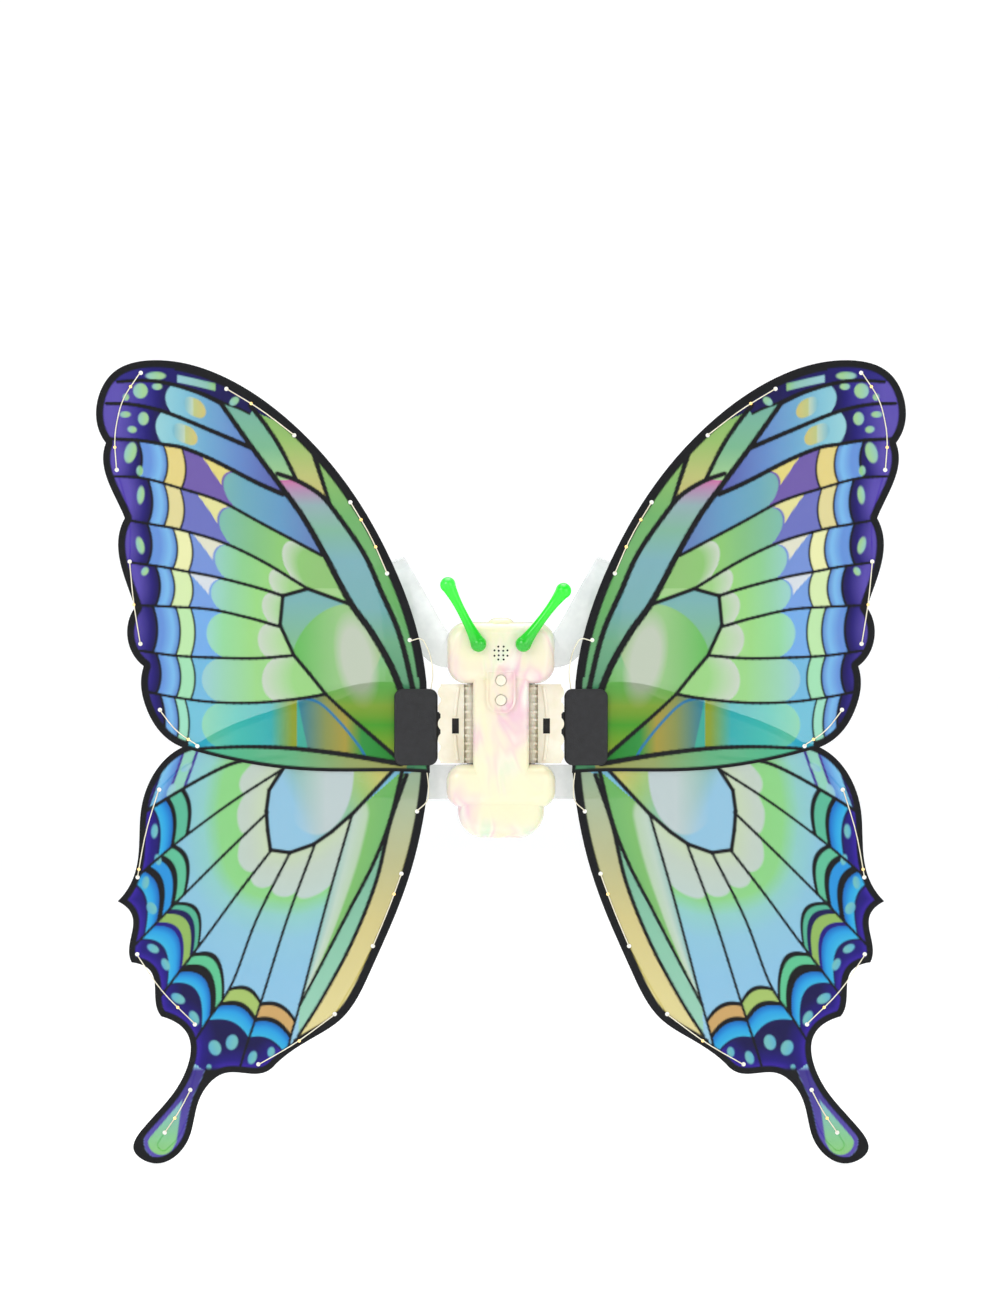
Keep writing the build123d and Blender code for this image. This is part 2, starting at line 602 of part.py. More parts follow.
def socket_screws():
    length = SOCKET_BACK - SOCKET_FRONT - 4.6
    return group([cross_screw(x, z, SOCKET_BACK - 0.6, length) for x, z in SOCKET_SCREWS])


def hinge_shaft():
    """The steel shaft that the socket is clamped to; it drives the wing."""
    return upright(HINGE_X, HINGE_Y, LOBE_TOP - PACK_WALL - 2.5, GEAR_Z + GEAR_THICK + 2.0, SHAFT_R)


# ---------------------------------------------------------------- wings (right-hand side)

FORE_FRONT = HINGE_Y - FILM_GAP / 2 - FILM_THICK
HIND_FRONT = HINGE_Y + FILM_GAP / 2
RIVETS = ((60.0, 17.0), (60.0, -20.0), (73.0, 17.0), (73.0, -20.0))

FOREWING = (
    ((53.6, 31.0), (59.5, 64.7), (80.1, 120.5), (108.0, 169.1), (149.1, 216.1), (202.1, 251.9),
     (246.5, 262.6), (278.9, 253.9), (291.0, 230.8), (284.4, 203.0)),
    ((284.4, 203.0), (286.4, 190.3), (282.4, 174.2), (270.8, 148.9)),
    ((270.8, 148.9), (275.6, 128.0), (271.6, 108.0), (263.5, 84.6)),
    ((263.5, 84.6), (269.1, 68.0), (266.0, 53.0), (257.2, 42.3)),
    ((257.2, 42.3), (259.0, 27.0), (255.6, 12.8), (247.0, -3.0), (230.3, -15.7)),
    ((230.3, -15.7), (190.3, -26.1), (156.5, -31.4), (121.7, -33.5), (79.4, -33.4), (51.1, -34.6)),
)

HINDWING = (
    ((51.0, -26.0), (56.2, -69.3), (65.1, -106.0), (76.8, -138.3), (93.0, -175.1), (115.1, -211.8),
     (140.0, -228.0), (162.0, -244.1)),
    ((162.0, -244.1), (173.0, -251.0), (198.4, -250.7), (217.1, -269.4), (225.9, -300.2),
     (250.1, -315.7), (264.5, -306.0), (255.7, -288.1), (230.3, -256.2), (223.7, -229.0),
     (244.7, -209.9)),
    ((244.7, -209.9), (248.8, -199.0), (249.6, -184.5), (266.0, -171.0)),
    ((266.0, -171.0), (267.5, -158.0), (265.0, -145.0), (276.0, -127.0)),
    ((276.0, -127.0), (261.3, -95.5), (258.8, -58.5), (243.4, -26.4), (216.7, -12.2)),
    ((216.7, -12.2), (185.0, 3.6), (153.4, 14.0), (124.8, 23.5), (90.0, 31.0), (57.0, 25.0)),
)

# Light wire, from the root round the forewing and back along the hindwing: x, z and what it does
# there. FRONT, MIDDLE and BEHIND are the layer it lies in: in front of the forewing, between the
# films, or behind the hindwing. At a hole it passes from the layer before to the layer after.
FRONT = -1
MIDDLE = 0
BEHIND = 1
FORE_HOLE = "through the forewing"
HIND_HOLE = "through the hindwing"
BOTH_HOLE = "through both films"
WIRE_ROUTE = (
    (51.0, 22.0, MIDDLE), (48.5, 38.0, MIDDLE), (51.5, 53.0, MIDDLE), (57.0, 63.0, FRONT),
    (65.7, 61.1, FORE_HOLE), (75.0, 84.0, MIDDLE), (82.0, 109.1, FORE_HOLE), (93.5, 136.0, FRONT),
    (108.4, 160.3, FORE_HOLE), (127.0, 186.5, MIDDLE), (148.8, 208.5, FORE_HOLE), (172.5, 227.0, FRONT),
    (197.6, 241.9, FORE_HOLE), (228.0, 252.5, MIDDLE), (259.2, 253.4, FORE_HOLE), (273.0, 234.0, FRONT),
    (278.5, 208.0, FRONT), (276.5, 183.6, FORE_HOLE), (266.5, 150.0, MIDDLE), (267.2, 117.6, FORE_HOLE),
    (264.5, 88.0, FRONT), (259.5, 58.4, FORE_HOLE), (252.0, 34.0, MIDDLE), (245.4, 10.9, FORE_HOLE),
    (234.0, -4.5, FRONT), (218.5, -15.2, BOTH_HOLE), (221.0, -26.0, BEHIND), (234.0, -33.5, BEHIND),
    (246.1, -46.6, HIND_HOLE), (256.0, -77.0, MIDDLE), (261.6, -109.7, HIND_HOLE), (261.0, -138.0, BEHIND),
    (261.9, -165.1, HIND_HOLE), (244.5, -192.0, MIDDLE), (220.4, -215.6, HIND_HOLE), (217.5, -240.0, BEHIND),
    (223.7, -262.8, HIND_HOLE), (232.0, -279.0, MIDDLE), (242.1, -293.5, HIND_HOLE), (248.5, -303.0, BEHIND),
    (243.0, -308.0, BEHIND), (232.5, -298.0, BEHIND), (224.5, -280.0, BEHIND), (212.5, -258.5, BEHIND),
    (196.0, -246.0, BEHIND), (174.7, -244.3, HIND_HOLE), (148.0, -229.5, MIDDLE), (119.7, -208.2, HIND_HOLE),
    (105.0, -184.0, BEHIND), (92.2, -159.2, HIND_HOLE), (81.0, -133.0, MIDDLE), (71.7, -107.1, HIND_HOLE),
    (65.0, -84.0, BEHIND), (60.4, -62.2, HIND_HOLE), (52.4, -55.0, MIDDLE), (52.0, -42.0, MIDDLE),
    (54.5, -27.0, MIDDLE),
)

# Where a light sits on the wire: the number of the route's point before it and the share of that run.
LIGHTS = ((6, 0.7), (11, 0.3), (16, 0.35), (20, 0.05), (24, 0.6), (29, 0.85), (33, 0.5), (37, 0.3),
          (46, 0.1), (50, 0.45), (14, 0.5), (8, -0.5))
HOLE_STEP = 1.0


def film(stretches, front_y):
    """A thin sheet whose outline is a chain of smooth stretches that meet at notches."""
    edges = []
    for points in stretches:
        edges.append(Spline(*points))
    start = stretches[0][0]
    end = stretches[-1][-1]
    edges.append(Line(end, start))
    sheet = extrude(Plane.XZ * make_face(edges), FILM_THICK)
    return Pos(0, front_y + FILM_THICK, 0) * sheet


def layer_y(layer):
    return HINGE_Y + layer * LAYER_STEP


def is_hole(mark):
    return mark in (FORE_HOLE, HIND_HOLE, BOTH_HOLE)


def wire_stations():
    """Each route point as its arriving and leaving places: two at a hole, one elsewhere."""
    stations = []
    layer = WIRE_ROUTE[0][2]
    for index, (x, z, mark) in enumerate(WIRE_ROUTE):
        if not is_hole(mark):
            layer = mark
            place = Vector(x, layer_y(layer), z)
            stations.append((place, place))
            continue
        before = Vector(WIRE_ROUTE[index - 1][0], 0, WIRE_ROUTE[index - 1][1])
        after = Vector(WIRE_ROUTE[index + 1][0], 0, WIRE_ROUTE[index + 1][1])
        middle = Vector(x, 0, z)
        along = ((middle - before).normalized() + (after - middle).normalized()).normalized() * HOLE_STEP
        leaving = layer_after(index, layer)
        arrive = middle - along + Vector(0, layer_y(layer), 0)
        leave = middle + along + Vector(0, layer_y(leaving), 0)
        stations.append((arrive, leave))
        layer = leaving
    return stations


def layer_after(index, layer):
    """The layer that the wire is in once it has passed through a hole."""
    mark = WIRE_ROUTE[index][2]
    if mark == BOTH_HOLE:
        return BEHIND
    if mark == FORE_HOLE:
        return FRONT if layer == MIDDLE else MIDDLE
    return BEHIND if layer == MIDDLE else MIDDLE


def holes(kinds):
    """The arriving and leaving places of every hole of the given kinds."""
    stations = wire_stations()
    return [station for station, point in zip(stations, WIRE_ROUTE) if point[2] in kinds]


def bend_radii(points):
    """The radius of each corner: 0.45 of its shorter run over the tangent of half its turn."""
    radii = []
    for before, here, after in zip(points, points[1:], points[2:]):
        turn = (here - before).get_angle(after - here)
        run = min((here - before).length, (after - here).length)
        radii.append(0.45 * run / math.tan(math.radians(turn / 2)))
    return radii


def wire_points():
    """All the corners of the wire's route."""
    points = []
    for arrive, leave in wire_stations():
        points.append(arrive)
        if (leave - arrive).length > 0.1:
            points.append(leave)
    return points


def light_wire():
    """The thin wire that carries the lights, woven through the films."""
    points = wire_points()
    radii = bend_radii(points)
    print("wire bend radii, mm:", " ".join(f"{radius:.1f}" for radius in radii))
    path = FilletPolyline(*points, radius=radii)
    start = Plane(origin=path @ 0, z_dir=path % 0)
    wire = sweep(start * Circle(WIRE_R), path=path)
    ratio = wire.volume / (math.pi * WIRE_R ** 2 * path.length)
    print(f"wire length {path.length:.0f} mm, volume ratio {ratio:.3f}")
    return wire


def pierced(sheet, kinds):
    """A film with its wire holes and rivet holes."""
    for arrive, leave in holes(kinds):
        middle = (arrive + leave) / 2
        sheet -= across(middle.X, middle.Z, -90, 90, EYELET_R - 0.4)
    for x, z in RIVETS:
        sheet -= across(x, z, -90, 90, 1.2)
    return sheet


def forewing():
    return pierced(film(FOREWING, FORE_FRONT), (FORE_HOLE, BOTH_HOLE))


def hindwing():
    return pierced(film(HINDWING, HIND_FRONT), (HIND_HOLE, BOTH_HOLE))


def spool(x, z, front_y, back_y):
    """A moulded eyelet: a neck through the film with a collar on each side."""
    eyelet = across(x, z, front_y - 0.35, front_y, EYELET_R)
    eyelet += across(x, z, back_y, back_y + 0.35, EYELET_R)
    return eyelet + across(x, z, front_y - 0.1, back_y + 0.1, EYELET_R - 0.4)


def eyelets():
    """The white eyelet in each hole, with the slanting bore that the wire runs through."""
    pieces = []
    spans = {FORE_HOLE: (FORE_FRONT, FORE_FRONT + FILM_THICK), HIND_HOLE: (HIND_FRONT, HIND_FRONT + FILM_THICK),
             BOTH_HOLE: (FORE_FRONT, HIND_FRONT + FILM_THICK)}
    for kind, (front_y, back_y) in spans.items():
        for arrive, leave in holes((kind,)):
            middle = (arrive + leave) / 2
            along = leave - arrive
            bore = Plane(origin=middle, z_dir=along) * Cylinder(WIRE_R + 0.03, along.length + 6)
            pieces.append(spool(middle.X, middle.Z, front_y, back_y) - bore)
    return group(pieces)


def lights():
    """The small bead-like lamps on the wire, flat where they lie on a film."""
    stations = wire_stations()
    beads = []
    for index, share in LIGHTS:
        start = stations[index][1] if share >= 0 else stations[index][0]
        other = stations[index + 1][0] if share >= 0 else stations[index - 1][1]
        place = start + (other - start) * abs(share)
        bead = Pos(place.X, place.Y, place.Z) * Sphere(LED_R)
        face = FORE_FRONT if place.Y < HINGE_Y - 0.5 else HIND_FRONT
        beads.append(bead & block(0, 400, -90, face, -400, 400))
    return group(beads)


def root_slab(y0, y1):
    middle = (ROOT_IN + ROOT_OUT) / 2
    half = (ROOT_OUT - ROOT_IN) / 2
    return Pos(middle, 0, 0) * front_slab(half, ROOT_BOTTOM, ROOT_TOP, y0, y1, ROOT_CORNER)


def root_plate_front():
    """The front root plate with the tongue that plugs into the socket."""
    plate = root_slab(FORE_FRONT - ROOT_PLATE_THICK, FORE_FRONT)
    plate = fillet(plate.faces().sort_by(Axis.Y)[0].edges(), 1.2)
    tongue = block(TONGUE_IN, ROOT_IN + 3.0, HINGE_Y - TONGUE_THICK / 2, HINGE_Y + TONGUE_THICK / 2,
                   TONGUE_Z - TONGUE_HALF_HEIGHT, TONGUE_Z + TONGUE_HALF_HEIGHT)
    tongue = chamfer(tongue.faces().sort_by(Axis.X)[0].edges(), 0.6)
    return plate + tongue


def root_plate_back():
    """The back root plate, with a notch for the tongue."""
    plate = root_slab(HIND_FRONT + FILM_THICK, HIND_FRONT + FILM_THICK + ROOT_PLATE_THICK)
    plate = fillet(plate.faces().sort_by(Axis.Y)[-1].edges(), 1.2)
    return plate - block(0, ROOT_IN + 3.0 + 0.1, -90, 90, TONGUE_Z - TONGUE_HALF_HEIGHT - 0.1,
                         TONGUE_Z + TONGUE_HALF_HEIGHT + 0.1)


def root_spacer():
    """The strip that keeps the two films apart inside the root."""
    strip = block(62.0, 76.0, HINGE_Y - FILM_GAP / 2, HINGE_Y + FILM_GAP / 2, -25.0, 22.0)
    for x, z in RIVETS:
        strip -= across(x, z, -90, 90, 1.2)
    return strip


def root_rivets():
    """Four rivets through both root plates, with domed heads at the back."""
    pins = []
    back = HIND_FRONT + FILM_THICK + ROOT_PLATE_THICK
    for x, z in RIVETS:
        head = across(x, z, back, back + 0.9, 2.2)
        head = fillet(head.faces().sort_by(Axis.Y)[-1].edges(), 0.6)
        pins.append(head + across(x, z, FORE_FRONT - ROOT_PLATE_THICK + 1.0, back + 0.1, 1.2))
    return group(pins)


def riveted(plate):
    """A root plate with its rivet holes."""
    for x, z in RIVETS:
        plate -= across(x, z, FORE_FRONT - ROOT_PLATE_THICK + 1.0, 90, 1.2)
    return plate


# ---------------------------------------------------------------- shoulder straps (right-hand side)

# Middle of the strap and the direction across its width, from the upper slit over the shoulder,
# down the chest, under the arm and back to the lower slit.
STRAP_ROUTE = (
    ((STRAP_BAR_X, STRAP_SLOT_Y, STRAP_TOP_Z), (0.0, 0.0, 1.0)),
    ((STRAP_OUT, STRAP_SLOT_Y, STRAP_TOP_Z), (0.0, 0.0, 1.0)),
    ((STRAP_OUT + 6.0, -3.0, 57.5), (-0.35, 0.0, 0.94)),
    ((STRAP_OUT + 12.5, -1.0, 66.0), (-0.7, 0.0, 0.71)),
    ((STRAP_OUT + 21.5, 3.0, 82.0), (-0.83, 0.0, 0.55)),
    ((71.0, 10.0, 98.0), (-0.86, 0.0, 0.5)),
    ((78.0, 21.0, 110.0), (-0.9, 0.0, 0.42)),
    ((82.0, 37.0, 117.0), (-0.94, 0.0, 0.34)),
    ((84.0, 55.0, 119.0), (-0.95, 0.0, 0.3)),
    ((83.5, 74.0, 115.5), (-0.96, 0.0, 0.28)),
    ((81.5, 91.0, 105.0), (-0.98, 0.0, 0.2)),
    ((78.5, 104.0, 88.0), (-1.0, 0.0, 0.1)),
    ((76.0, 112.0, 66.0), (-1.0, 0.0, 0.0)),
    ((74.5, 116.0, 40.0), (-1.0, 0.0, 0.0)),
    ((75.0, 116.5, 16.0), (-0.99, 0.0, -0.12)),
    ((79.0, 114.0, -6.0), (-0.9, 0.05, -0.44)),
    ((87.5, 106.0, -22.0), (-0.62, 0.15, -0.77)),
    ((97.0, 92.0, -32.5), (-0.25, 0.1, -0.96)),
    ((103.5, 74.0, -38.0), (0.0, 0.0, -1.0)),
    ((104.5, 54.0, -40.5), (0.0, 0.0, -1.0)),
    ((100.0, 35.0, -41.5), (0.0, 0.0, -1.0)),
    ((88.0, 18.0, STRAP_LOW_Z), (0.0, 0.0, -1.0)),
    ((70.0, 6.0, STRAP_LOW_Z), (0.0, 0.0, -1.0)),
    ((STRAP_OUT + 13.5, -1.0, STRAP_LOW_Z), (0.0, 0.0, -1.0)),
    ((STRAP_OUT + 2.0, STRAP_SLOT_Y, STRAP_LOW_Z), (0.0, 0.0, -1.0)),
    ((STRAP_BAR_X, STRAP_SLOT_Y, STRAP_LOW_Z), (0.0, 0.0, -1.0)),
)


def strap_section(index):
    """The strap's rectangular section at one point of its route."""
    centre = Vector(*STRAP_ROUTE[index][0])
    before = Vector(*STRAP_ROUTE[max(index - 1, 0)][0])
    after = Vector(*STRAP_ROUTE[min(index + 1, len(STRAP_ROUTE) - 1)][0])
    along = (after - before).normalized()
    if index == 1:
        along = Vector(1, 0, 0)
    if index >= len(STRAP_ROUTE) - 2:
        along = Vector(-1, 0, 0)
    width = Vector(*STRAP_ROUTE[index][1])
    width = (width - along * width.dot(along)).normalized()
    plane = Plane(origin=centre, x_dir=width, z_dir=along)
    return plane * Rectangle(STRAP_WIDTH, STRAP_THICK)


def strap():
    """One clear shoulder strap as a flat band along its route."""
    sections = [strap_section(index).face() for index in range(len(STRAP_ROUTE))]
    return loft(sections, ruled=True)


def strap_bars():
    """The pins inside the rear cover that the strap ends are welded round."""
    bars = []
    for side in (-1, 1):
        for centre_z in (STRAP_TOP_Z, STRAP_LOW_Z):
            bars.append(upright(side * (STRAP_BAR_X - 0.7), STRAP_SLOT_Y - STRAP_THICK / 2 - STRAP_BAR_R,
                                centre_z - STRAP_BAR_HALF, centre_z + STRAP_BAR_HALF, STRAP_BAR_R))
    return group(bars)


# ---------------------------------------------------------------- the nodes

def all_nodes():
    """Every named piece of the object, each in its own node."""
    nodes = {}
    nodes["head_shell"], nodes["tail_shell"] = front_shells()
    nodes["rear_cover"] = rear_cover()
    nodes["case_screws"] = case_screws()
    nodes["battery_door"] = battery_door()
    nodes["door_screw"] = door_screw()
    nodes["upper_button"] = button(BUTTON_Z[0])
    nodes["lower_button"] = button(BUTTON_Z[1])
    nodes["circuit_board"] = circuit_board()
    nodes["tact_switches"] = tact_switches()
    nodes["speaker"] = speaker()
    nodes["antenna_leds"] = antenna_leds()
    nodes["antenna_left"] = antenna(-1, ANTENNA_LEAN_LEFT)
    nodes["antenna_right"] = antenna(1, ANTENNA_LEAN_RIGHT)
    nodes["battery_tray"] = battery_tray()
    nodes["batteries"] = batteries()
    nodes["battery_contacts"] = battery_contacts()
    nodes["motor"] = motor()
    nodes["motor_pinion"] = motor_pinion()
    nodes["compound_gear"] = compound_gear()
    nodes["gear_axle"] = gear_axle()
    nodes["gear_plate"] = gear_plate()
    nodes["strap_bars"] = strap_bars()
    nodes["sector_gear_left"] = sector_gear(-1)
    nodes["sector_gear_right"] = sector_gear(1)
    right_hand = {
        "strap": strap(),
        "socket_front": socket_half(True),
        "socket_rear": socket_half(False),
        "socket_screws": socket_screws(),
        "hinge_shaft": hinge_shaft(),
        "root_plate_front": riveted(root_plate_front()),
        "root_plate_back": riveted(root_plate_back()),
        "root_spacer": root_spacer(),
        "root_rivets": root_rivets(),
        "forewing": forewing(),
        "hindwing": hindwing(),
        "light_wire": light_wire(),
        "wire_eyelets": eyelets(),
        "wire_lights": lights(),
    }
    for name, shape in right_hand.items():
        nodes[name + "_right"] = shape
        nodes[name + "_left"] = mirrored(shape)
    return nodes


def main():
    os.makedirs("parts", exist_ok=True)
    for name, shape in all_nodes().items():
        export_step(shape, f"parts/{name}.step")


if __name__ == "__main__":
    main()
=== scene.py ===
import math

import bmesh
import bpy
import numpy as np
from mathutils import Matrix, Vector
from mathutils.geometry import delaunay_2d_cdt


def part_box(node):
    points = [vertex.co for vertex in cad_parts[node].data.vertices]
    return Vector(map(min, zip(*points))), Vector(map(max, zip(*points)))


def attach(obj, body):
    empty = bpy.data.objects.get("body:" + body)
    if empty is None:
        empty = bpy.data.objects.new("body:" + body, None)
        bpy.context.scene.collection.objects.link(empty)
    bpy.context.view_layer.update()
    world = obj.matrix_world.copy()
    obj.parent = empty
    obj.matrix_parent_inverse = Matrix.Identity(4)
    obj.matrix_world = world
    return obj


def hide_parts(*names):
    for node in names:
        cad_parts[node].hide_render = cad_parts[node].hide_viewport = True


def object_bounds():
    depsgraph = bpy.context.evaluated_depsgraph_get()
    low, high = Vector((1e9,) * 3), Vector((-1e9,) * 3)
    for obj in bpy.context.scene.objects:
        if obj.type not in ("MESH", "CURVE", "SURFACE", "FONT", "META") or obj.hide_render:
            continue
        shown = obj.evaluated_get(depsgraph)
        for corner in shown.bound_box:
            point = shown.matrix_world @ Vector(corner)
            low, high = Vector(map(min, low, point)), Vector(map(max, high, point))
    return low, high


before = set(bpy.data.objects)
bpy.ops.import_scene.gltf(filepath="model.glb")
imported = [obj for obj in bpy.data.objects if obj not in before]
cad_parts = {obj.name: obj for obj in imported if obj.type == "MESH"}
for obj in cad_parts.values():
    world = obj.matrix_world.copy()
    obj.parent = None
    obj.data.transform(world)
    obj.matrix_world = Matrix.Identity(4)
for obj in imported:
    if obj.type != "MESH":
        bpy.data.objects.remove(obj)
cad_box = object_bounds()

MM = 0.001
SIDES = {"right": 1.0, "left": -1.0}
GRID_STEP = 1.0  # spacing of the printed film's mesh points, mm
EDGE_BLUR = 0.45                        # half width of a printed edge's soft rim, mm
INK_DENSITY = 1.5                       # how much deeper the inks are than their tints
FILM_ALPHA = 0.80                       # how much light the printed film stops between its blacks
RIM_CLEAR = 0.45                        # least gap from an outline to a mesh point, in grid steps

BLACK = "11141f"         # veins and bands
MARGIN_BLACK = "131722"  # the wings' margins
SPOT_BLUE = "86c0bc"


# ---------------------------------------------------------------- colours and plane geometry

def rgb(code):
    """A linear colour from a hex code such as 4aa8d8."""
    values = [int(code[i:i + 2], 16) / 255 for i in (0, 2, 4)]
    return np.array([v / 12.92 if v <= 0.04045 else ((v + 0.055) / 1.055) ** 2.4 for v in values])


def smooth(points, steps=6):
    """A Catmull-Rom curve through given points."""
    pts = np.array(points, float)
    padded = np.vstack([2 * pts[0] - pts[1], pts, 2 * pts[-1] - pts[-2]])
    curve = []
    for i in range(1, len(padded) - 2):
        before, start, end, after = padded[i - 1:i + 3]
        for t in np.arange(steps) / steps:
            curve.append(0.5 * (2 * start + (end - before) * t
                                + (2 * before - 5 * start + 4 * end - after) * t ** 2
                                + (3 * start - before - 3 * end + after) * t ** 3))
    curve.append(pts[-1])
    return np.array(curve)


def distance(places, line):
    """Distance of each place from a polyline."""
    best = np.full(len(places), 1e9)
    for start, end in zip(line[:-1], line[1:]):
        along = end - start
        share = np.clip((places - start) @ along / max(along @ along, 1e-12), 0, 1)
        gap = places - start - share[:, None] * along
        best = np.minimum(best, gap[:, 0] ** 2 + gap[:, 1] ** 2)
    return np.sqrt(best)


def inside(places, loop):
    """True for the places inside a closed outline."""
    x, z = places[:, 0], places[:, 1]
    found = np.zeros(len(places), bool)
    for (x0, z0), (x1, z1) in zip(loop, np.roll(loop, -1, axis=0)):
        crosses = (z0 > z) != (z1 > z)
        if z0 != z1:
            found ^= crosses & (x < (x1 - x0) * (z - z0) / (z1 - z0) + x0)
    return found


def at_x(line, x):
    """The height of a curve at each x."""
    order = np.argsort(line[:, 0])
    return np.interp(x, line[order, 0], line[order, 1])


def at_z(line, z):
    """The x of a curve at each height."""
    order = np.argsort(line[:, 1])
    return np.interp(z, line[order, 1], line[order, 0])


def cover(depth):
    """How much of a place an area covers, from its depth inside the area."""
    return np.clip(0.5 + depth / (2 * EDGE_BLUR), 0, 1)


def off_centre(down):
    """From 0 in the middle of a cell to 1 at its two sides, as a parabola."""
    return (2 * down - 1) ** 2


def round_end(off):
    """How far a round end has fallen back: 0 in the middle of a cell, 1 at its sides."""
    return 1 - np.sqrt(np.clip(1 - off, 0, 1))


def ramp(value, stops):
    """A colour gradient: stops are (value, hex code) in rising order."""
    at = [stop[0] for stop in stops]
    colours = np.array([rgb(stop[1]) for stop in stops])
    return np.stack([np.interp(value, at, colours[:, i]) for i in range(3)], 1)


class Print:
    """Ink laid on a film: a colour for each place, and how much light it stops."""

    def __init__(self, places, base):
        self.places = places
        self.x = places[:, 0]
        self.z = places[:, 1]
        self.colour = np.tile(rgb(base), (len(places), 1))
        self.ink = np.zeros(len(places))

    def lay(self, share, colour):
        """Cover a share of each place with a hex code, or with a colour for each place."""
        colour = rgb(colour) if isinstance(colour, str) else colour
        self.colour = self.colour * (1 - share[:, None]) + colour * share[:, None]

    def black(self, share, code=BLACK):
        """Lay a dark ink that no light gets through."""
        self.lay(share, code)
        self.ink = np.maximum(self.ink, share)

    def vein(self, line, width_in, width_out):
        """A black line that tapers from its first to its last point."""
        parts = len(line) - 1
        for i in range(parts):
            width = width_in + (width_out - width_in) * i / parts
            gap = distance(self.places, line[i:i + 2])
            self.black(cover(width / 2 - gap))

    def spot(self, x, z, wide, high, turn, far_code, near_code):
        """An oval spot whose colour changes across its width."""
        angle = math.radians(turn)
        dx = (self.x - x) * math.cos(angle) + (self.z - z) * math.sin(angle)
        dz = -(self.x - x) * math.sin(angle) + (self.z - z) * math.cos(angle)
        radius = np.sqrt((dx / wide) ** 2 + (dz / high) ** 2)
        depth = (1 - radius) * min(wide, high)
        share = np.clip((dx / wide + 0.4) * 0.7, 0, 1)[:, None]
        self.lay(cover(depth), rgb(far_code) * share + rgb(near_code) * (1 - share))


# ---------------------------------------------------------------- the forewing's print, in mm

FORE_MAIN = [(202, 232), (179, 199.5), (160, 174), (142, 149), (126, 121), (109, 89), (93, 66.5), (79, 42),
             (68, 14)]
FORE_LEAD = [(161, 181), (146, 175.5), (130.5, 166), (119.5, 153.5), (99, 124), (86.5, 96.5), (72.5, 63.5),
             (62, 20)]
FORE_TWIG = [(180.5, 230), (169.5, 216), (158.5, 199), (147.5, 177)]
FORE_FORK = [(134.5, 194), (129, 177), (122.5, 157)]
FORE_RIBS = [
    [(276, 247), (255, 248), (236, 245), (217, 239), (202, 232)],
    [(284, 231.5), (264, 230.5), (241, 225), (209, 212), (178.5, 199)],
    [(285, 206), (262, 205), (243, 202), (229, 199.5), (208, 191), (177, 175), (157, 166)],
    [(278, 179), (257, 177.5), (233, 171), (202, 161), (172, 145), (129, 122)],
    [(266, 147), (249, 144), (233, 141), (202, 132), (172, 118), (139, 98)],
    [(267, 117), (245, 114), (229, 111), (203, 106), (176, 99), (157, 93)],
    [(258, 86), (235, 85), (208, 83), (181, 77), (160, 71)],
    [(260, 53.5), (235, 50), (208, 48.5), (176, 48), (150, 50)],
    [(255, 24), (235, 20), (208, 16.5), (176, 16), (145, 19), (127, 22)],
    [(217, -17), (190, -15.8), (166, -16), (143, -17.5), (111, -21.5), (72, -28)],
]
FORE_CELL = [(126, 22), (138, 37), (149, 50), (159, 72), (157, 93), (139, 98), (109, 87)]
FORE_CELL_LOW = [(126, 22), (111, 8), (95, -6), (72, -26)]
TOP_BANDS = 3  # the bands at the tip; the margin cells start below their last rib
# For each margin cell: where the purple, the blue and the pale band end and where the fan starts, and then
# the colours of the pale band, of the wedge between it and the fan, and of the star in the wedge.
FORE_BANDS = [
    (260.0, 241.6, 228.5, 200.7, "d8c860", "7658ae", "d8cc50"),
    (252.5, 241.0, 229.6, 203.8, "d6cc85", "6872be", "d8d488"),
    (253.0, 234.5, 223.5, 206.9, "dfe0a5", "6690cf", "d5d5c0"),
    (247.0, 236.5, 223.3, 209.7, "cddfa5", "5f9dd8", "cdd3d8"),
    (249.0, 232.5, 221.8, 212.9, "b5dba0", "52a8dc", None),
    (246.5, 232.2, 221.8, 216.3, "98d6ac", "4cb4d4", None),
    (243.5, 233.5, 226.0, 216.3, "8fd4ba", "4cbcd0", None),
]
MARGIN_BOW = 3.2  # how far the margin bands bulge outwards between two ribs
# The colours of each margin cell's fan, from the root outwards.
FORE_FANS = [
    ((130, "5c7fb8"), (160, "4a9cc0"), (185, "58a8b8"), (201, "6cb2ac")),
    ((130, "8fbf6a"), (158, "8cc468"), (176, "80bd80"), (203, "72b8aa")),
    ((140, "a0c880"), (168, "94cc72"), (186, "88c888"), (206, "86c4bc")),
    ((155, "98cc78"), (176, "96d078"), (194, "8ccaa0"), (209, "8cc8c6")),
    ((150, "a8d088"), (180, "98d078"), (200, "8ed098"), (213, "8cccc4")),
    ((140, "98cc78"), (176, "98cf80"), (200, "90caae"), (216, "8cc4cc")),
    ((140, "5ebaa8"), (165, "4cbcc0"), (190, "5cc6be"), (216, "88ceb0")),
]
# Where each fan's pale petal starts, and its length.
FORE_PETALS = [None, (157.5, 7.0), (167.0, 9.0), (172.0, 9.5), (175.0, 12.0), (172.0, 13.0), None]
# Oval spots: their centre, half width, half height and turn in degrees.
FORE_TIP_SPOTS = [
    (248.5, 251.3, 7.2, 2.9, 0), (259.5, 240.5, 5.2, 5.4, 0), (270, 236, 2.3, 2.5, 0),
    (247.5, 243.6, 3.6, 2.4, 0), (270.5, 223.5, 3.9, 2.2, 0), (257.4, 220.5, 3.8, 4.7, 0),
    (265.5, 212.7, 3.3, 2.4, 10),
]
FORE_MARGIN_SPOTS = [
    (266.7, 196, 4.2, 7.6, 15), (260, 183, 2.4, 3.6, 0), (259.3, 165.5, 2.6, 6.4, 5),
    (259.7, 129.3, 2.8, 6.2, -14), (256.3, 110.6, 2.4, 3.2, 30),
]


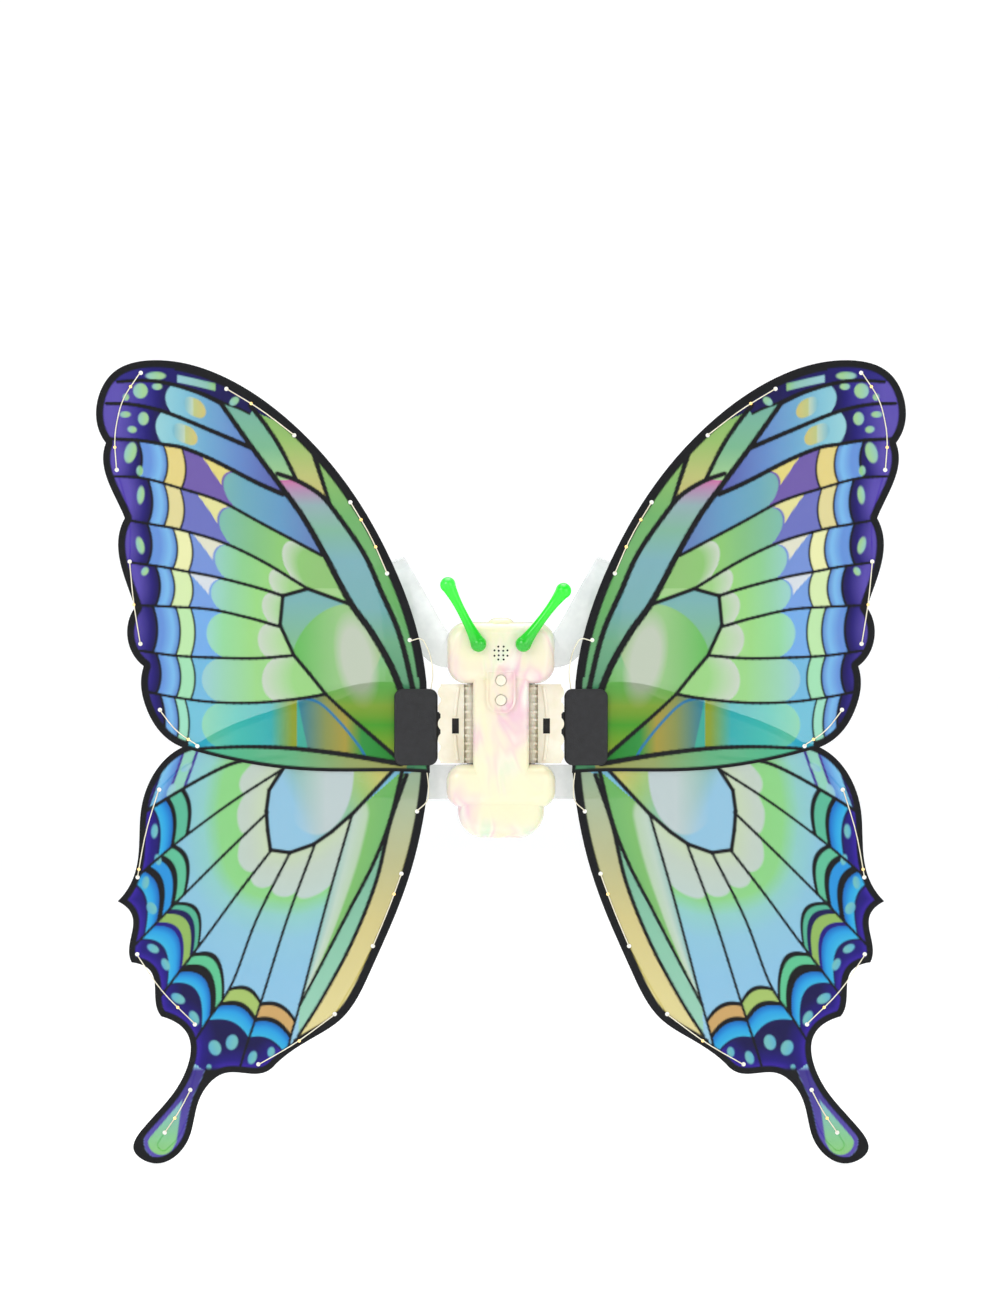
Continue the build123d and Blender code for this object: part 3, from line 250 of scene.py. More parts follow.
def fore_regions(ink):
    """Which pair of margin ribs each place lies between, and how far down that pair it is."""
    ribs = [smooth(rib) for rib in FORE_RIBS]
    heights = [at_x(rib, ink.x) for rib in ribs]
    index = np.zeros(len(ink.x), int)
    for height in heights:
        index += ink.z < height
    last = len(heights) - 1
    upper = np.choose(np.clip(index - 1, 0, last), heights)
    lower = np.choose(np.clip(index, 0, last), heights)
    down = np.clip((upper - ink.z) / np.maximum(upper - lower, 0.1), 0, 1)
    return ribs, index, down


def fore_margin_cell(ink, here, down, half, row):
    """One cell between two ribs: purple, blue, pale band, wedge with its star, and the fan."""
    purple_end, blue_end, pale_end, fan_start, pale, wedge, star = FORE_BANDS[row]
    off = off_centre(down)
    x = ink.x + MARGIN_BOW * (0.5 - off)
    ink.lay(here, wedge)
    fan_depth = fan_start - 1.0 - ink.x - half * round_end(off)
    if star:
        slope = fan_start + 15.5 - 30.0 * down + 6.0 * down ** 2
        ink.lay(here * cover(slope - ink.x), star)
        ink.lay(here * cover(fan_depth + 1.5), wedge)
    ink.lay(here * cover(fan_depth), ramp(ink.x, FORE_FANS[row]))
    if FORE_PETALS[row]:
        start, length = FORE_PETALS[row]
        depth = start - ink.x - 0.8 * half * round_end(off)
        fade = np.clip(1 - depth / (length * 1.7), 0, 1)
        ink.lay(here * cover(depth) * fade, "c0cabb")
    ink.lay(here * cover(x - pale_end), pale)
    blues = ramp(x - blue_end, ((0, "3c84c4"), (5, "55b4de"), (12, "3e92d2")))
    ink.lay(here * cover(x - blue_end), blues)
    purples = ramp(x - purple_end, ((0, "2a1f66"), (6, "3a248e"), (16, "5f40b4")))
    ink.lay(here * cover(x - purple_end), purples)
    for line, width in ((purple_end, 1.6), (blue_end, 1.3), (pale_end, 1.3)):
        ink.black(here * cover(width / 2 - np.abs(x - line)))


def fore_print(places, edge):
    """All the ink on the forewing."""
    ink = Print(places, "7fbf7a")
    ribs, index, down = fore_regions(ink)
    main, lead = smooth(FORE_MAIN), smooth(FORE_LEAD)
    in_wing = ink.x > at_z(main, ink.z)
    for row in range(len(FORE_BANDS)):
        cell = row + TOP_BANDS
        here = ((index == cell) & in_wing).astype(float)
        upper, lower = at_x(ribs[cell - 1], ink.x), at_x(ribs[cell], ink.x)
        fore_margin_cell(ink, here, down, (upper - lower) / 2, row)
    top_bands(ink, index, down, in_wing)
    lower_cells(ink, index, in_wing)
    middle_cell(ink)
    leading_strips(ink, in_wing, lead)
    for rib in ribs[:TOP_BANDS]:
        ink.vein(rib, 2.2, 3.4)
    for rib in ribs[TOP_BANDS:-1]:
        ink.vein(rib, 1.7, 2.3)
    ink.vein(ribs[-1], 2.2, 3.8)
    ink.vein(main, 3.4, 5.2)
    ink.vein(lead, 3.0, 4.0)
    ink.vein(smooth(FORE_TWIG), 3.2, 2.8)
    ink.vein(smooth(FORE_FORK), 3.4, 2.6)
    ink.vein(np.array(FORE_CELL, float), 2.6, 2.8)
    ink.vein(smooth(FORE_CELL_LOW), 2.2, 3.2)
    leading = (ink.z > 34) & (ink.x < 235)
    bottom = (ink.z < 0) & (ink.x < 225)
    width = np.where(leading, 6.4, np.where(bottom, 2.6, 5.2))
    ink.black(cover(width - edge), MARGIN_BLACK)
    return ink


def top_bands(ink, index, down, in_wing):
    """The three purple bands at the wing's tip, with their blue cells and pill shapes."""
    tip = (index == 0).astype(float)
    ink.lay(tip, ramp(ink.x, ((190, "2a1f6e"), (240, "2f2080"), (275, "3a249a"))))
    bar_line = np.array([(205, 243.0), (220, 246.6), (233.5, 249.5)])
    bar_low, bar_high, bar_half = 205.5, 233.0, 2.7
    bar_side = bar_half - np.abs(ink.z - at_x(bar_line, ink.x))
    bar_end = np.minimum(bar_high - ink.x, ink.x - bar_low)
    bar_colours = ramp(ink.x, ((206, "8fc480"), (212, "84bcae"), (233, "88c0c8")))
    ink.lay(tip * cover(np.minimum(bar_side, bar_end)), bar_colours)
    pill_end, pill_radius = 6.0, 6.6
    for row, start, low, high in ((1, 241.5, 213.0, 228.0), (2, 248.5, 219.0, 236.0)):
        band = ((index == row) & in_wing).astype(float)
        ink.lay(band, ramp(ink.x, ((start, "2a1c70"), (start + 12, "38209a"), (275, "6044b4"))))
        bow = 5.0 * off_centre(down)
        blues = ((160, "5a62b0"), (190, "4f8cc4"), (212, "52a6c8"), (232, "6cbccc"), (248, "84c6cc"))
        ink.lay(band * cover(start - bow - ink.x), ramp(ink.x, blues))
        middle = (at_x(smooth(FORE_RIBS[row - 1]), ink.x) + at_x(smooth(FORE_RIBS[row]), ink.x)) / 2
        reach = np.maximum(np.maximum(low + pill_end - ink.x, ink.x - high + pill_end), 0)
        radius = np.hypot(reach, ink.z - middle)
        gold = ramp(ink.x, ((low, "c8bc58"), (low + 8, "b8c070"), (low + 9, "b4c8b0"), (high, "64b4c4")))
        ink.lay(band * cover(pill_radius - radius), gold)
    for oval in FORE_TIP_SPOTS:
        ink.spot(*oval, SPOT_BLUE, "9ac890")


def lower_cells(ink, index, in_wing):
    """The long cell above the bottom edge, the strip below it, and the margin cells' spots."""
    last_cell = len(FORE_RIBS) - 1
    long_cell = ((index == last_cell) & in_wing).astype(float)
    curve = at_z(smooth([(147, 22), (144, 6), (139, -18)]), ink.z)
    glow = ramp(ink.x, ((80, "3f9a4a"), (100, "4fa45e"), (112, "b8ac5c"), (126, "a0a870"), (146, "4796ac")))
    ink.lay(long_cell * cover(curve - ink.x), glow)
    ridge = smooth([(147, 20), (131, 16), (116, 2), (103, -14), (98, -22)])
    ink.lay(long_cell * cover(0.9 - distance(ink.places, ridge)), "3f8fb8")
    strip = (index == last_cell + 1).astype(float)
    ink.lay(strip, ramp(ink.x, ((70, "b0b070"), (110, "a8b47a"), (150, "80bf98"), (215, "64c4a6"))))
    near = long_cell * (ink.x > 147) * (ink.x < 166)
    ink.lay(near * np.clip((166 - ink.x) / 16, 0, 1), "a2b048")
    for oval in FORE_MARGIN_SPOTS:
        ink.spot(*oval, SPOT_BLUE, "9ac890")


def middle_cell(ink):
    """The big closed cell: a teal rim, a green pool and a pale oval."""
    past_cell_top = 30  # the main vein's curve points from the cell's upper corner down
    loop = np.vstack([FORE_CELL, smooth(FORE_MAIN)[past_cell_top:], smooth(FORE_CELL_LOW)[::-1]])
    here = inside(ink.places, loop).astype(float)
    ink.lay(here, ramp(ink.z, ((-20, "8fb84a"), (10, "7cb452"), (40, "84bc78"), (90, "6fb0b0"))))
    pool = np.hypot((ink.x - 118) / 33, (ink.z - 52) / 34 + (ink.x - 118) * 0.008)
    ink.lay(here * cover((1 - pool) * 30), ramp(ink.x, ((90, "a4bf8c"), (118, "94c27c"), (146, "6cbc58"))))
    pale = np.hypot((ink.x - 104) / 15, (ink.z - 47) / 30 - (ink.x - 104) * 0.022)
    ink.lay(here * np.clip((1.15 - pale) * 2.2, 0, 1) * cover((1.12 - pale) * 14), "b8c2ae")
    root = np.clip((30 - ink.z) / 26, 0, 1)
    ink.lay(here * root * 0.7, ramp(ink.z, ((-20, "a8b43c"), (0, "58a83e"), (14, "b0ac40"), (30, "4c9c4c"))))


def leading_strips(ink, in_wing, lead):
    """The narrow cells between the main vein and the leading edge."""
    out = (~in_wing).astype(float)
    greens = ((20, "6aa880"), (90, "78b670"), (150, "74b468"), (200, "98bc58"), (230, "8cbc62"))
    ink.lay(out, ramp(ink.z, greens))
    inner_strip = ((ink.x > at_z(lead, ink.z)) & (ink.z < 181)).astype(float) * out
    shade = ramp(ink.z, ((20, "62a07c"), (60, "76b08e"), (84, "70aeb0"), (118, "72aeb6"), (140, "7cb49c"),
                         (158, "8cacae"), (170, "b084ac"), (178, "cc58a0")))
    ink.lay(inner_strip, shade)
    twig = smooth(FORE_TWIG)
    outside_twig = ((ink.x > at_z(twig, ink.z)) & (ink.z > 176)).astype(float) * out
    ink.lay(outside_twig, ramp(ink.z, ((178, "9cc488"), (200, "76b690"), (230, "6cb0a0"))))
    fork = smooth(FORE_FORK)
    yellow = (ink.x > at_z(fork, ink.z)) & (ink.z > at_x(lead, ink.x)) & (ink.x < at_z(twig, ink.z))
    shade = ramp(ink.z, ((155, "c4b458"), (180, "b8bc60"), (205, "98bc58"), (232, "84b85c")))
    ink.lay(yellow.astype(float) * out, shade)
    roof = np.array([(150.0, 214.0), (179.0, 226.0), (181.0, 224.0), (188.0, 227.5), (196.0, 230.5),
                     (203.0, 233.0)])
    purple = (ink.z > at_x(roof, ink.x)).astype(float) * out
    ink.lay(purple, "2a1f6e")
    ink.vein(roof[2:], 1.6, 1.8)
    ink.spot(192, 233, 3.9, 2.6, -40, SPOT_BLUE, "8cc49a")


# ---------------------------------------------------------------- the hindwing's print, in mm

HIND_CELL = [(156, -30), (167, -47), (169, -62), (168, -76), (166, -90), (152, -92), (135, -86), (122, -77),
             (106, -63), (90, -46), (78, -33)]
HIND_RIBS = [
    [(156, -23), (174, -25), (191, -27), (215, -38), (254, -61), (275, -74)],
    [(156, -31), (196, -57), (236, -87), (267, -114), (284, -130)],
    [(168, -63), (200, -94), (233, -127), (263, -158), (282, -178)],
    [(166, -91), (190, -122), (215, -156), (247, -198), (262, -220)],
    [(152, -92), (176, -140), (194, -187), (212, -214), (228, -240)],
    [(134, -86), (154, -140), (172, -197), (186, -240), (191, -262)],
    [(107, -64), (126, -130), (145, -202), (152, -227), (158, -256)],
]
HIND_INNER = [(71, -33), (80, -69), (92, -100), (108, -131), (126, -166), (145, -202)]
HIND_OUTER = [(68, -36), (80, -71), (90, -113), (108, -158), (130, -199), (146, -224)]
HIND_HEM = [(52, -28), (58, -66), (66, -96), (76, -127), (88, -158), (103, -190), (124, -220), (150, -238)]
# For each cell between two ribs: the top of its inner arc, the way that points out of the wing, how far the
# arc bows, the length of its petal, its bands from that arc outwards, and where its purple ground starts.
HIND_BANDS = [
    ((222.9, -34.5), (0.95, 0.32), 0.5, 24,
     [(0, "4a30a0"), (2, "84c8b4"), (9.3, "4a30a0"), (11.2, "3f9cd4")], 21),
    ((222.5, -63.2), (0.995, -0.10), 3.9, 23,
     [(0, BLACK), (3, "78c0a8"), (11.5, BLACK), (14.6, "3f9cd4")], 24.5),
    ((223.2, -103.6), (0.97, -0.235), 7.3, 22,
     [(0, BLACK), (3.2, "7cc4a8"), (10.5, BLACK), (14.6, "46a6d8"), (21.5, BLACK), (26.5, "3f9cd4")], 37),
    ((211.4, -145.1), (0.886, -0.469), 11.7, 25,
     [(0, BLACK), (2.8, "72bca4"), (7, "2a1f6e"), (11.2, "a4c07c"), (19, "3c2494"), (22.5, "3f96d0")], 35.5),
    ((196.2, -178.6), (0.828, -0.562), 12.8, 29,
     [(0, BLACK), (3.5, "7cc8a4"), (10.5, BLACK), (17, "3f9cd4")], 27),
    ((185.3, -187.1), (0.40, -0.917), 5.9, 33,
     [(0, BLACK), (3, "b4c886"), (12.2, BLACK), (16, "46a8d4")], 28.5),
    ((158.7, -200.8), (0.435, -0.90), 5.4, 36,
     [(0, BLACK), (3, "d0b484"), (11.5, BLACK), (15, "46a4d0")], 27),
]
# Oval spots, as on the forewing.
HIND_SPOTS = [
    (206, -232.5, 4.4, 5.6, -20), (193.7, -228.5, 4.3, 5.6, 15), (210.3, -246.5, 1.8, 2.2, 0),
    (232.5, -197, 5.4, 3.3, 30), (221, -211, 3.2, 5.4, -25), (179, -239.5, 3.0, 4.9, 20),
    (165.5, -235.5, 2.6, 3.7, 10), (250.5, -161, 4.6, 2.8, 30), (241.5, -172.5, 2.7, 4.6, -25),
    (256, -113.5, 2.6, 4.6, 10), (251.5, -132, 3.4, 4.6, -30), (249.5, -76.5, 2.4, 5.2, 5),
    (247, -97, 2.4, 4.0, -10), (237.5, -47.5, 2.6, 5.6, 25), (226.5, -30.5, 4.4, 2.4, -35),
]
# The middle of the tail, from the wing to its tip.
TAIL_LINE = [(215, -238), (218, -246), (222, -256), (231, -273), (240, -291), (244.5, -300)]


def between(places, first, second):
    """Inside the closed shape between two curves."""
    return inside(places, np.vstack([first, second[::-1]])).astype(float)


def share_across(places, first, second):
    """How far across the way from the first curve to the second each place is."""
    one, two = distance(places, first), distance(places, second)
    return one / np.maximum(one + two, 0.01)


def hind_cell(ink, edge, cell_gap, first, second, row):
    """One cell that spreads from the middle cell to the margin, with its petal and crescents."""
    top, out, bow, petal_length, bands, purple = HIND_BANDS[row]
    here = between(ink.places, first, second)
    off = off_centre(share_across(ink.places, first, second))
    ground = ((0, "88cc70"), (34, "88cc80"), (46, "80c4c0"), (62, "78bcd0"), (90, "70b8d4"))
    ink.lay(here, ramp(cell_gap, ground))
    petal = petal_length - 6.5 * round_end(off) - cell_gap
    petal_colours = ramp(cell_gap, ((0, "bccca8"), (14, "b8c6b8"), (34, "b4c6c0")))
    ink.lay(here * np.clip(petal / 1.6, 0, 1), petal_colours)
    depth = (ink.x - top[0]) * out[0] + (ink.z - top[1]) * out[1] - bow * off
    for start, code in bands:
        ink.lay(here * cover(depth - start), code)
        if code == BLACK:
            ink.ink = np.maximum(ink.ink, here * cover(depth - start))
    blue = bands[-1][0]
    blues = ramp(depth, ((blue, "2f86c8"), (blue + 5, "46b0dc"), (purple, "5cc0dc")))
    ink.lay(here * cover(depth - blue), blues)
    ink.lay(here * cover(depth - purple), ramp(edge, ((4, "5a3cb4"), (9, "3c2494"), (20, "26176a"))))
    ink.black(here * cover(0.8 - np.abs(depth - purple)), "2a1f6e")


def hind_print(places, edge):
    """All the ink on the hindwing."""
    ink = Print(places, "7cbcd4")
    loop = np.array(HIND_CELL, float)
    cell_gap = distance(places, loop)
    ribs = [smooth(rib) for rib in HIND_RIBS]
    inner_line, outer_line, hem = smooth(HIND_INNER), smooth(HIND_OUTER), smooth(HIND_HEM)
    top = np.array([(156.0, -23.0), (170.0, 20.0), (230.0, -5.0), (290.0, -40.0)])
    ink.lay((ink.z > -25).astype(float), ramp(ink.x, ((60, "a8b050"), (150, "8cc078"), (215, "5cb4d0"))))
    hind_cell(ink, edge, cell_gap, top, ribs[0], 0)
    for row in range(1, len(ribs)):
        hind_cell(ink, edge, cell_gap, ribs[row - 1], ribs[row], row)
    last_rib = ribs[-1][:-10]  # short of the margin, where the inner line ends
    slant = share_across(places, last_rib, inner_line) + (ink.z + 130) / 260
    ink.lay(between(places, last_rib, inner_line), ramp(
        slant, ((0.0, "8cbcb8"), (0.35, "b4c8b8"), (0.62, "b0c8a8"), (0.72, "80bc64"), (1.1, "78b868"))))
    ink.lay(between(places, inner_line, outer_line), ramp(
        ink.z, ((-215, "88c4ac"), (-160, "80c0a4"), (-110, "78b89c"), (-50, "88bc8c"))))
    ink.lay(between(places, outer_line, hem), ramp(
        ink.z, ((-225, "d6ca74"), (-140, "ccc070"), (-95, "b8b884"), (-40, "a4b89c"))))
    in_cell = inside(places, loop).astype(float)
    ink.lay(in_cell, ramp(ink.x * 0.9 - ink.z * 0.45, (
        (95, "c8c468"), (113, "9cc070"), (128, "88bc98"), (148, "84b8b4"), (160, "82bcd4"))))
    pale = np.hypot((ink.x - 133) / 27, (ink.z + 33) / 46)
    fade = np.clip((150 - ink.x) / 24, 0, 1) * in_cell
    ink.lay(fade * cover((1 - pale) * 20), "b6c4c4")
    for oval in HIND_SPOTS:
        ink.spot(*oval, "7cbcd0", "8cc4c4")
    tail(ink)
    ink.vein(ribs[0], 2.6, 2.2)
    for rib in ribs[1:]:
        ink.vein(rib, 1.9, 1.5)
    ink.vein(np.array(HIND_CELL, float), 2.8, 2.8)
    ink.vein(inner_line, 3.0, 1.8)
    ink.vein(outer_line, 3.2, 2.0)
    inner_edge = (distance(places, hem) < 14) & (edge < 14) & (ink.x < 150)
    ink.black(cover(np.where(inner_edge, 6.2, 4.6) - edge), MARGIN_BLACK)
    return ink


def tail(ink):
    """The tail's purple tongue with its teardrop, on black."""
    gap = distance(ink.places, smooth(TAIL_LINE))
    below = np.clip(-ink.z - 246, 0, 100)
    fade_in = np.clip(below / 3, 0, 1)
    tongue = 5.2 + 7.4 * np.clip((below - 19) / 30, 0, 1) ** 1.2
    ink.black(cover(gap - tongue) * fade_in, MARGIN_BLACK)
    ink.lay(cover(tongue - gap) * fade_in, ramp(ink.z, ((-300, "5a40b4"), (-250, "4a309c"))))
    drop = np.minimum(tongue - 3.0, 0.32 * (below - 24))
    shades = ramp(ink.z, ((-308, "86c870"), (-296, "7cc48c"), (-284, "72bca8"), (-272, "6cb4c0")))
    ink.lay(cover(drop - gap) * (below > 20), shades)


# ---------------------------------------------------------------- printed films

def loops_of(node):
    """The outline and the hole rims of a flat film node, as x and z in mm on the right-hand side."""
    mesh = bmesh.new()
    mesh.from_mesh(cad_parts[node].data)
    bmesh.ops.remove_doubles(mesh, verts=mesh.verts, dist=1e-6)
    mesh.normal_update()
    front = {face for face in mesh.faces if face.normal.y < -0.9}
    follow = {}
    for edge in mesh.edges:
        sides = [loop for loop in edge.link_loops if loop.face in front]
        if len(sides) == 1:
            follow[sides[0].vert] = sides[0].link_loop_next.vert
    loops = []
    while follow:
        start, step = next(iter(follow.items()))
        loop = [start]
        del follow[start]
        while step in follow:
            loop.append(step)
            step = follow.pop(step)
        loops.append(np.array([(abs(v.co.x), v.co.z) for v in loop]) / MM)
    mesh.free()
    loops.sort(key=len, reverse=True)
    outline = loops.pop(int(np.argmax([np.ptp(loop, axis=0).max() for loop in loops])))
    return outline, loops


def film_grid(outline, holes):
    """Triangles that fill an outline, from a honeycomb of points; holes stay open."""
    low, high = outline.min(0), outline.max(0)
    rows = np.arange(low[1], high[1], GRID_STEP * math.sqrt(3) / 2)
    columns = np.arange(low[0], high[0], GRID_STEP)
    points = []
    for i, z in enumerate(rows):
        points.append(np.stack([columns + (i % 2) * GRID_STEP / 2, np.full(len(columns), z)], 1))
    points = np.vstack(points)
    points = points[inside(points, outline)]
    loops = [outline] + holes
    for loop in loops:
        closed = np.vstack([loop, loop[:1]])
        points = points[distance(points, closed) > GRID_STEP * RIM_CLEAR]
    for hole in holes:
        points = points[~inside(points, hole)]
    verts, edges, count = [], [], 0
    for loop in loops:
        verts.extend(loop.tolist())
        edges.extend((count + i, count + (i + 1) % len(loop)) for i in range(len(loop)))
        count += len(loop)
    verts.extend(points.tolist())
    rim = list(range(len(outline)))
    out = delaunay_2d_cdt([Vector(v) for v in verts], edges, [rim], 1, 1e-5)
    places = np.array([v[:] for v in out[0]])
    faces = np.array(out[2])
    centres = places[faces].mean(1)
    keep = inside(centres, outline)
    for hole in holes:
        keep &= ~inside(centres, hole)
    return places, faces[keep]


def make_film(name, side, y, places, faces, ink):
    """A printed film as a sheet of fine triangles with its print as a colour attribute."""
    points = np.stack([side * places[:, 0] * MM, np.full(len(places), y), places[:, 1] * MM], 1)
    order = faces if side < 0 else faces[:, ::-1]
    mesh = bpy.data.meshes.new(name)
    mesh.from_pydata(points.tolist(), [], order.tolist())
    paint = mesh.color_attributes.new("print", "FLOAT_COLOR", "POINT")
    dark = np.clip(1.25 - 2.6 * ink.colour.mean(1), 0, 1)
    opaque = (FILM_ALPHA + (1 - FILM_ALPHA) * np.maximum(ink.ink, dark))[:, None]
    shades = np.clip(ink.colour, 0, 1) ** INK_DENSITY
    paint.data.foreach_set("color", np.hstack([shades, opaque]).astype(np.float32).ravel())
    mesh.update()
    piece = bpy.data.objects.new(name, mesh)
    bpy.context.scene.collection.objects.link(piece)
    for polygon in mesh.polygons:
        polygon.use_smooth = True
    return piece


def make_films():
    """The four printed films, each in its CAD node's place."""
    for kind, flat in (("forewing", (0.240, 0.297)), ("hindwing", (0.225, 0.347))):
        outline, holes = loops_of(kind + "_right")
        places, faces = film_grid(outline, holes)
        closed = np.vstack([outline, outline[:1]])
        edge = distance(places, closed)
        ink = fore_print(places, edge) if kind == "forewing" else hind_print(places, edge)
        for side_name, side in SIDES.items():
            node = f"{kind}_{side_name}"
            low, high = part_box(node)
            piece = make_film(f"film_{node}", side, (low.y + high.y) / 2, places, faces, ink)
            piece.data.materials.append(MATERIALS["printed_film"])
            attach(piece, f"wing_{side_name}")
            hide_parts(node)


# ---------------------------------------------------------------- shoulder straps

STRAP_WIDE = 25.0
STRAP_ROUTE = [  # centre, and the direction of the strap's width, in mm on the right-hand side
    ((30.4, -4.2, 54.0), (0.0, 0.0, 1.0)), ((40.5, -4.2, 54.0), (0.0, 0.0, 1.0)),
    ((46.5, -3.0, 57.5), (-0.35, 0.0, 0.94)), ((53.0, -1.0, 66.0), (-0.7, 0.0, 0.71)),
    ((62.0, 3.0, 82.0), (-0.83, 0.0, 0.55)), ((71.0, 10.0, 98.0), (-0.86, 0.0, 0.5)),
    ((78.0, 21.0, 110.0), (-0.9, 0.0, 0.42)), ((82.0, 37.0, 117.0), (-0.94, 0.0, 0.34)),
    ((84.0, 55.0, 119.0), (-0.95, 0.0, 0.3)), ((83.5, 74.0, 115.5), (-0.96, 0.0, 0.28)),
    ((81.5, 91.0, 105.0), (-0.98, 0.0, 0.2)), ((78.5, 104.0, 88.0), (-1.0, 0.0, 0.1)),
    ((76.0, 112.0, 66.0), (-1.0, 0.0, 0.0)), ((74.5, 116.0, 40.0), (-1.0, 0.0, 0.0)),
    ((75.0, 116.5, 16.0), (-0.99, 0.0, -0.12)), ((79.0, 114.0, -6.0), (-0.9, 0.05, -0.44)),
    ((87.5, 106.0, -22.0), (-0.62, 0.15, -0.77)), ((97.0, 92.0, -32.5), (-0.25, 0.1, -0.96)),
    ((103.5, 74.0, -38.0), (0.0, 0.0, -1.0)), ((104.5, 54.0, -40.5), (0.0, 0.0, -1.0)),
    ((100.0, 35.0, -41.5), (0.0, 0.0, -1.0)), ((88.0, 18.0, -41.5), (0.0, 0.0, -1.0)),
    ((70.0, 6.0, -41.5), (0.0, 0.0, -1.0)), ((54.0, -1.0, -41.5), (0.0, 0.0, -1.0)),
    ((42.5, -4.2, -41.5), (0.0, 0.0, -1.0)), ((30.4, -4.2, -41.5), (0.0, 0.0, -1.0)),
]


def strap_profile():
    """The band's section: thin in the middle, with a rounded welt along each edge."""
    across = [-1.0, -0.985, -0.95, -0.9, -0.86, -0.5, 0.0, 0.5, 0.86, 0.9, 0.95, 0.985, 1.0]
    half = [0.12, 0.3, 0.4, 0.34, 0.25, 0.24, 0.24, 0.24, 0.25, 0.34, 0.4, 0.3, 0.12]
    front = [(u * STRAP_WIDE / 2, -t) for u, t in zip(across, half)]
    back = [(u * STRAP_WIDE / 2, t) for u, t in zip(reversed(across), reversed(half))]
    return np.array(front + back)


def make_straps():
    """Clear shoulder straps that follow the CAD straps as smooth bands."""
    centres = smooth([point for point, _ in STRAP_ROUTE], 8)
    widths = smooth([width for _, width in STRAP_ROUTE], 8)
    tangents = np.gradient(centres, axis=0)
    tangents /= np.linalg.norm(tangents, axis=1)[:, None]
    widths -= tangents * (widths * tangents).sum(1)[:, None]
    widths /= np.linalg.norm(widths, axis=1)[:, None]
    normals = np.cross(tangents, widths)
    profile = strap_profile()
    for side_name, side in SIDES.items():
        mesh = bmesh.new()
        rings = []
        for centre, width, normal in zip(centres, widths, normals):
            ring = centre + profile[:, :1] * width + profile[:, 1:] * normal
            rings.append([mesh.verts.new((side * p[0] * MM, p[1] * MM, p[2] * MM)) for p in ring])
        count = len(profile)
        for first, second in zip(rings[:-1], rings[1:]):
            for i in range(count):
                mesh.faces.new((first[i], first[(i + 1) % count], second[(i + 1) % count], second[i]))
        mesh.faces.new(rings[0])
        mesh.faces.new(rings[-1])
        bmesh.ops.recalc_face_normals(mesh, faces=mesh.faces)
        data = bpy.data.meshes.new(f"shoulder_strap_{side_name}")
        mesh.to_mesh(data)
        mesh.free()
        for polygon in data.polygons:
            polygon.use_smooth = len(polygon.vertices) == 4
        piece = bpy.data.objects.new(data.name, data)
        bpy.context.scene.collection.objects.link(piece)
        piece.data.materials.append(MATERIALS["clear_strap"])
        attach(piece, "pack")
        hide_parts(f"strap_{side_name}")


# ---------------------------------------------------------------- materials

class Finish:
    """A material built round one Principled shader."""

    def __init__(self, name, **sockets):
        self.material = bpy.data.materials.new(name)
        self.material.use_nodes = True
        self.nodes = self.material.node_tree.nodes
        self.links = self.material.node_tree.links
        self.shader = self.nodes["Principled BSDF"]
        for socket, value in sockets.items():
            self.shader.inputs[socket.replace("_", " ")].default_value = value

    def place(self, scale=(1, 1, 1), turn=(0, 0, 0)):
        """Object coordinates, scaled and turned."""
        source = self.nodes.new("ShaderNodeTexCoord")
        mapping = self.nodes.new("ShaderNodeMapping")
        mapping.inputs["Scale"].default_value = scale
        mapping.inputs["Rotation"].default_value = [math.radians(a) for a in turn]
        self.links.new(source.outputs["Object"], mapping.inputs["Vector"])
        return mapping.outputs["Vector"]

    def noise(self, scale, detail=3.0, where=None, distort=0.0):
        """A soft 0 to 1 unevenness."""
        node = self.nodes.new("ShaderNodeTexNoise")
        node.inputs["Scale"].default_value = scale
        node.inputs["Detail"].default_value = detail
        node.inputs["Distortion"].default_value = distort
        self.links.new(where or self.place(), node.inputs["Vector"])
        return node.outputs["Fac"]

    def cells(self, scale):
        """Small cells, as the distance from each cell's middle."""
        node = self.nodes.new("ShaderNodeTexVoronoi")
        node.inputs["Scale"].default_value = scale
        self.links.new(self.place(), node.inputs["Vector"])
        return node.outputs["Distance"]

    def lines(self, scale, where):
        """Fine parallel lines."""
        node = self.nodes.new("ShaderNodeTexWave")
        node.inputs["Scale"].default_value = scale
        self.links.new(where, node.inputs["Vector"])
        return node.outputs["Fac"]

    def colours(self, value, *stops):
        """A colour ramp: stops are (position, hex code)."""
        node = self.nodes.new("ShaderNodeValToRGB")
        band = node.color_ramp
        while len(band.elements) < len(stops):
            band.elements.new(0.5)
        for element, (position, code) in zip(band.elements, stops):
            element.position = position
            element.color = (*rgb(code), 1.0)
        self.links.new(value, node.inputs["Fac"])
        return node.outputs["Color"]

    def span(self, value, low, high):
        """A 0 to 1 value stretched between two numbers."""
        node = self.nodes.new("ShaderNodeMapRange")
        node.inputs["To Min"].default_value = low
        node.inputs["To Max"].default_value = high
        self.links.new(value, node.inputs["Value"])
        return node.outputs["Result"]

    def blend(self, share, first, second):
        """The first colour where share is 0 and the second where it is 1."""
        node = self.nodes.new("ShaderNodeMix")
        node.data_type = "RGBA"
        factor, colour_a, colour_b, colour_out = 0, 6, 7, 2  # this node's sockets share names
        self.links.new(share, node.inputs[factor])
        self.links.new(first, node.inputs[colour_a])
        self.links.new(second, node.inputs[colour_b])
        return node.outputs[colour_out]

    def wire(self, **sockets):
        """Link values to the shader's sockets by name."""
        for socket, value in sockets.items():
            self.links.new(value, self.shader.inputs[socket.replace("_", " ")])

    def bump(self, height, strength, depth):
        """Surface relief; depth is in metres."""
        node = self.nodes.new("ShaderNodeBump")
        node.inputs["Strength"].default_value = strength
        node.inputs["Distance"].default_value = depth
        self.links.new(height, node.inputs["Height"])
        self.links.new(node.outputs["Normal"], self.shader.inputs["Normal"])


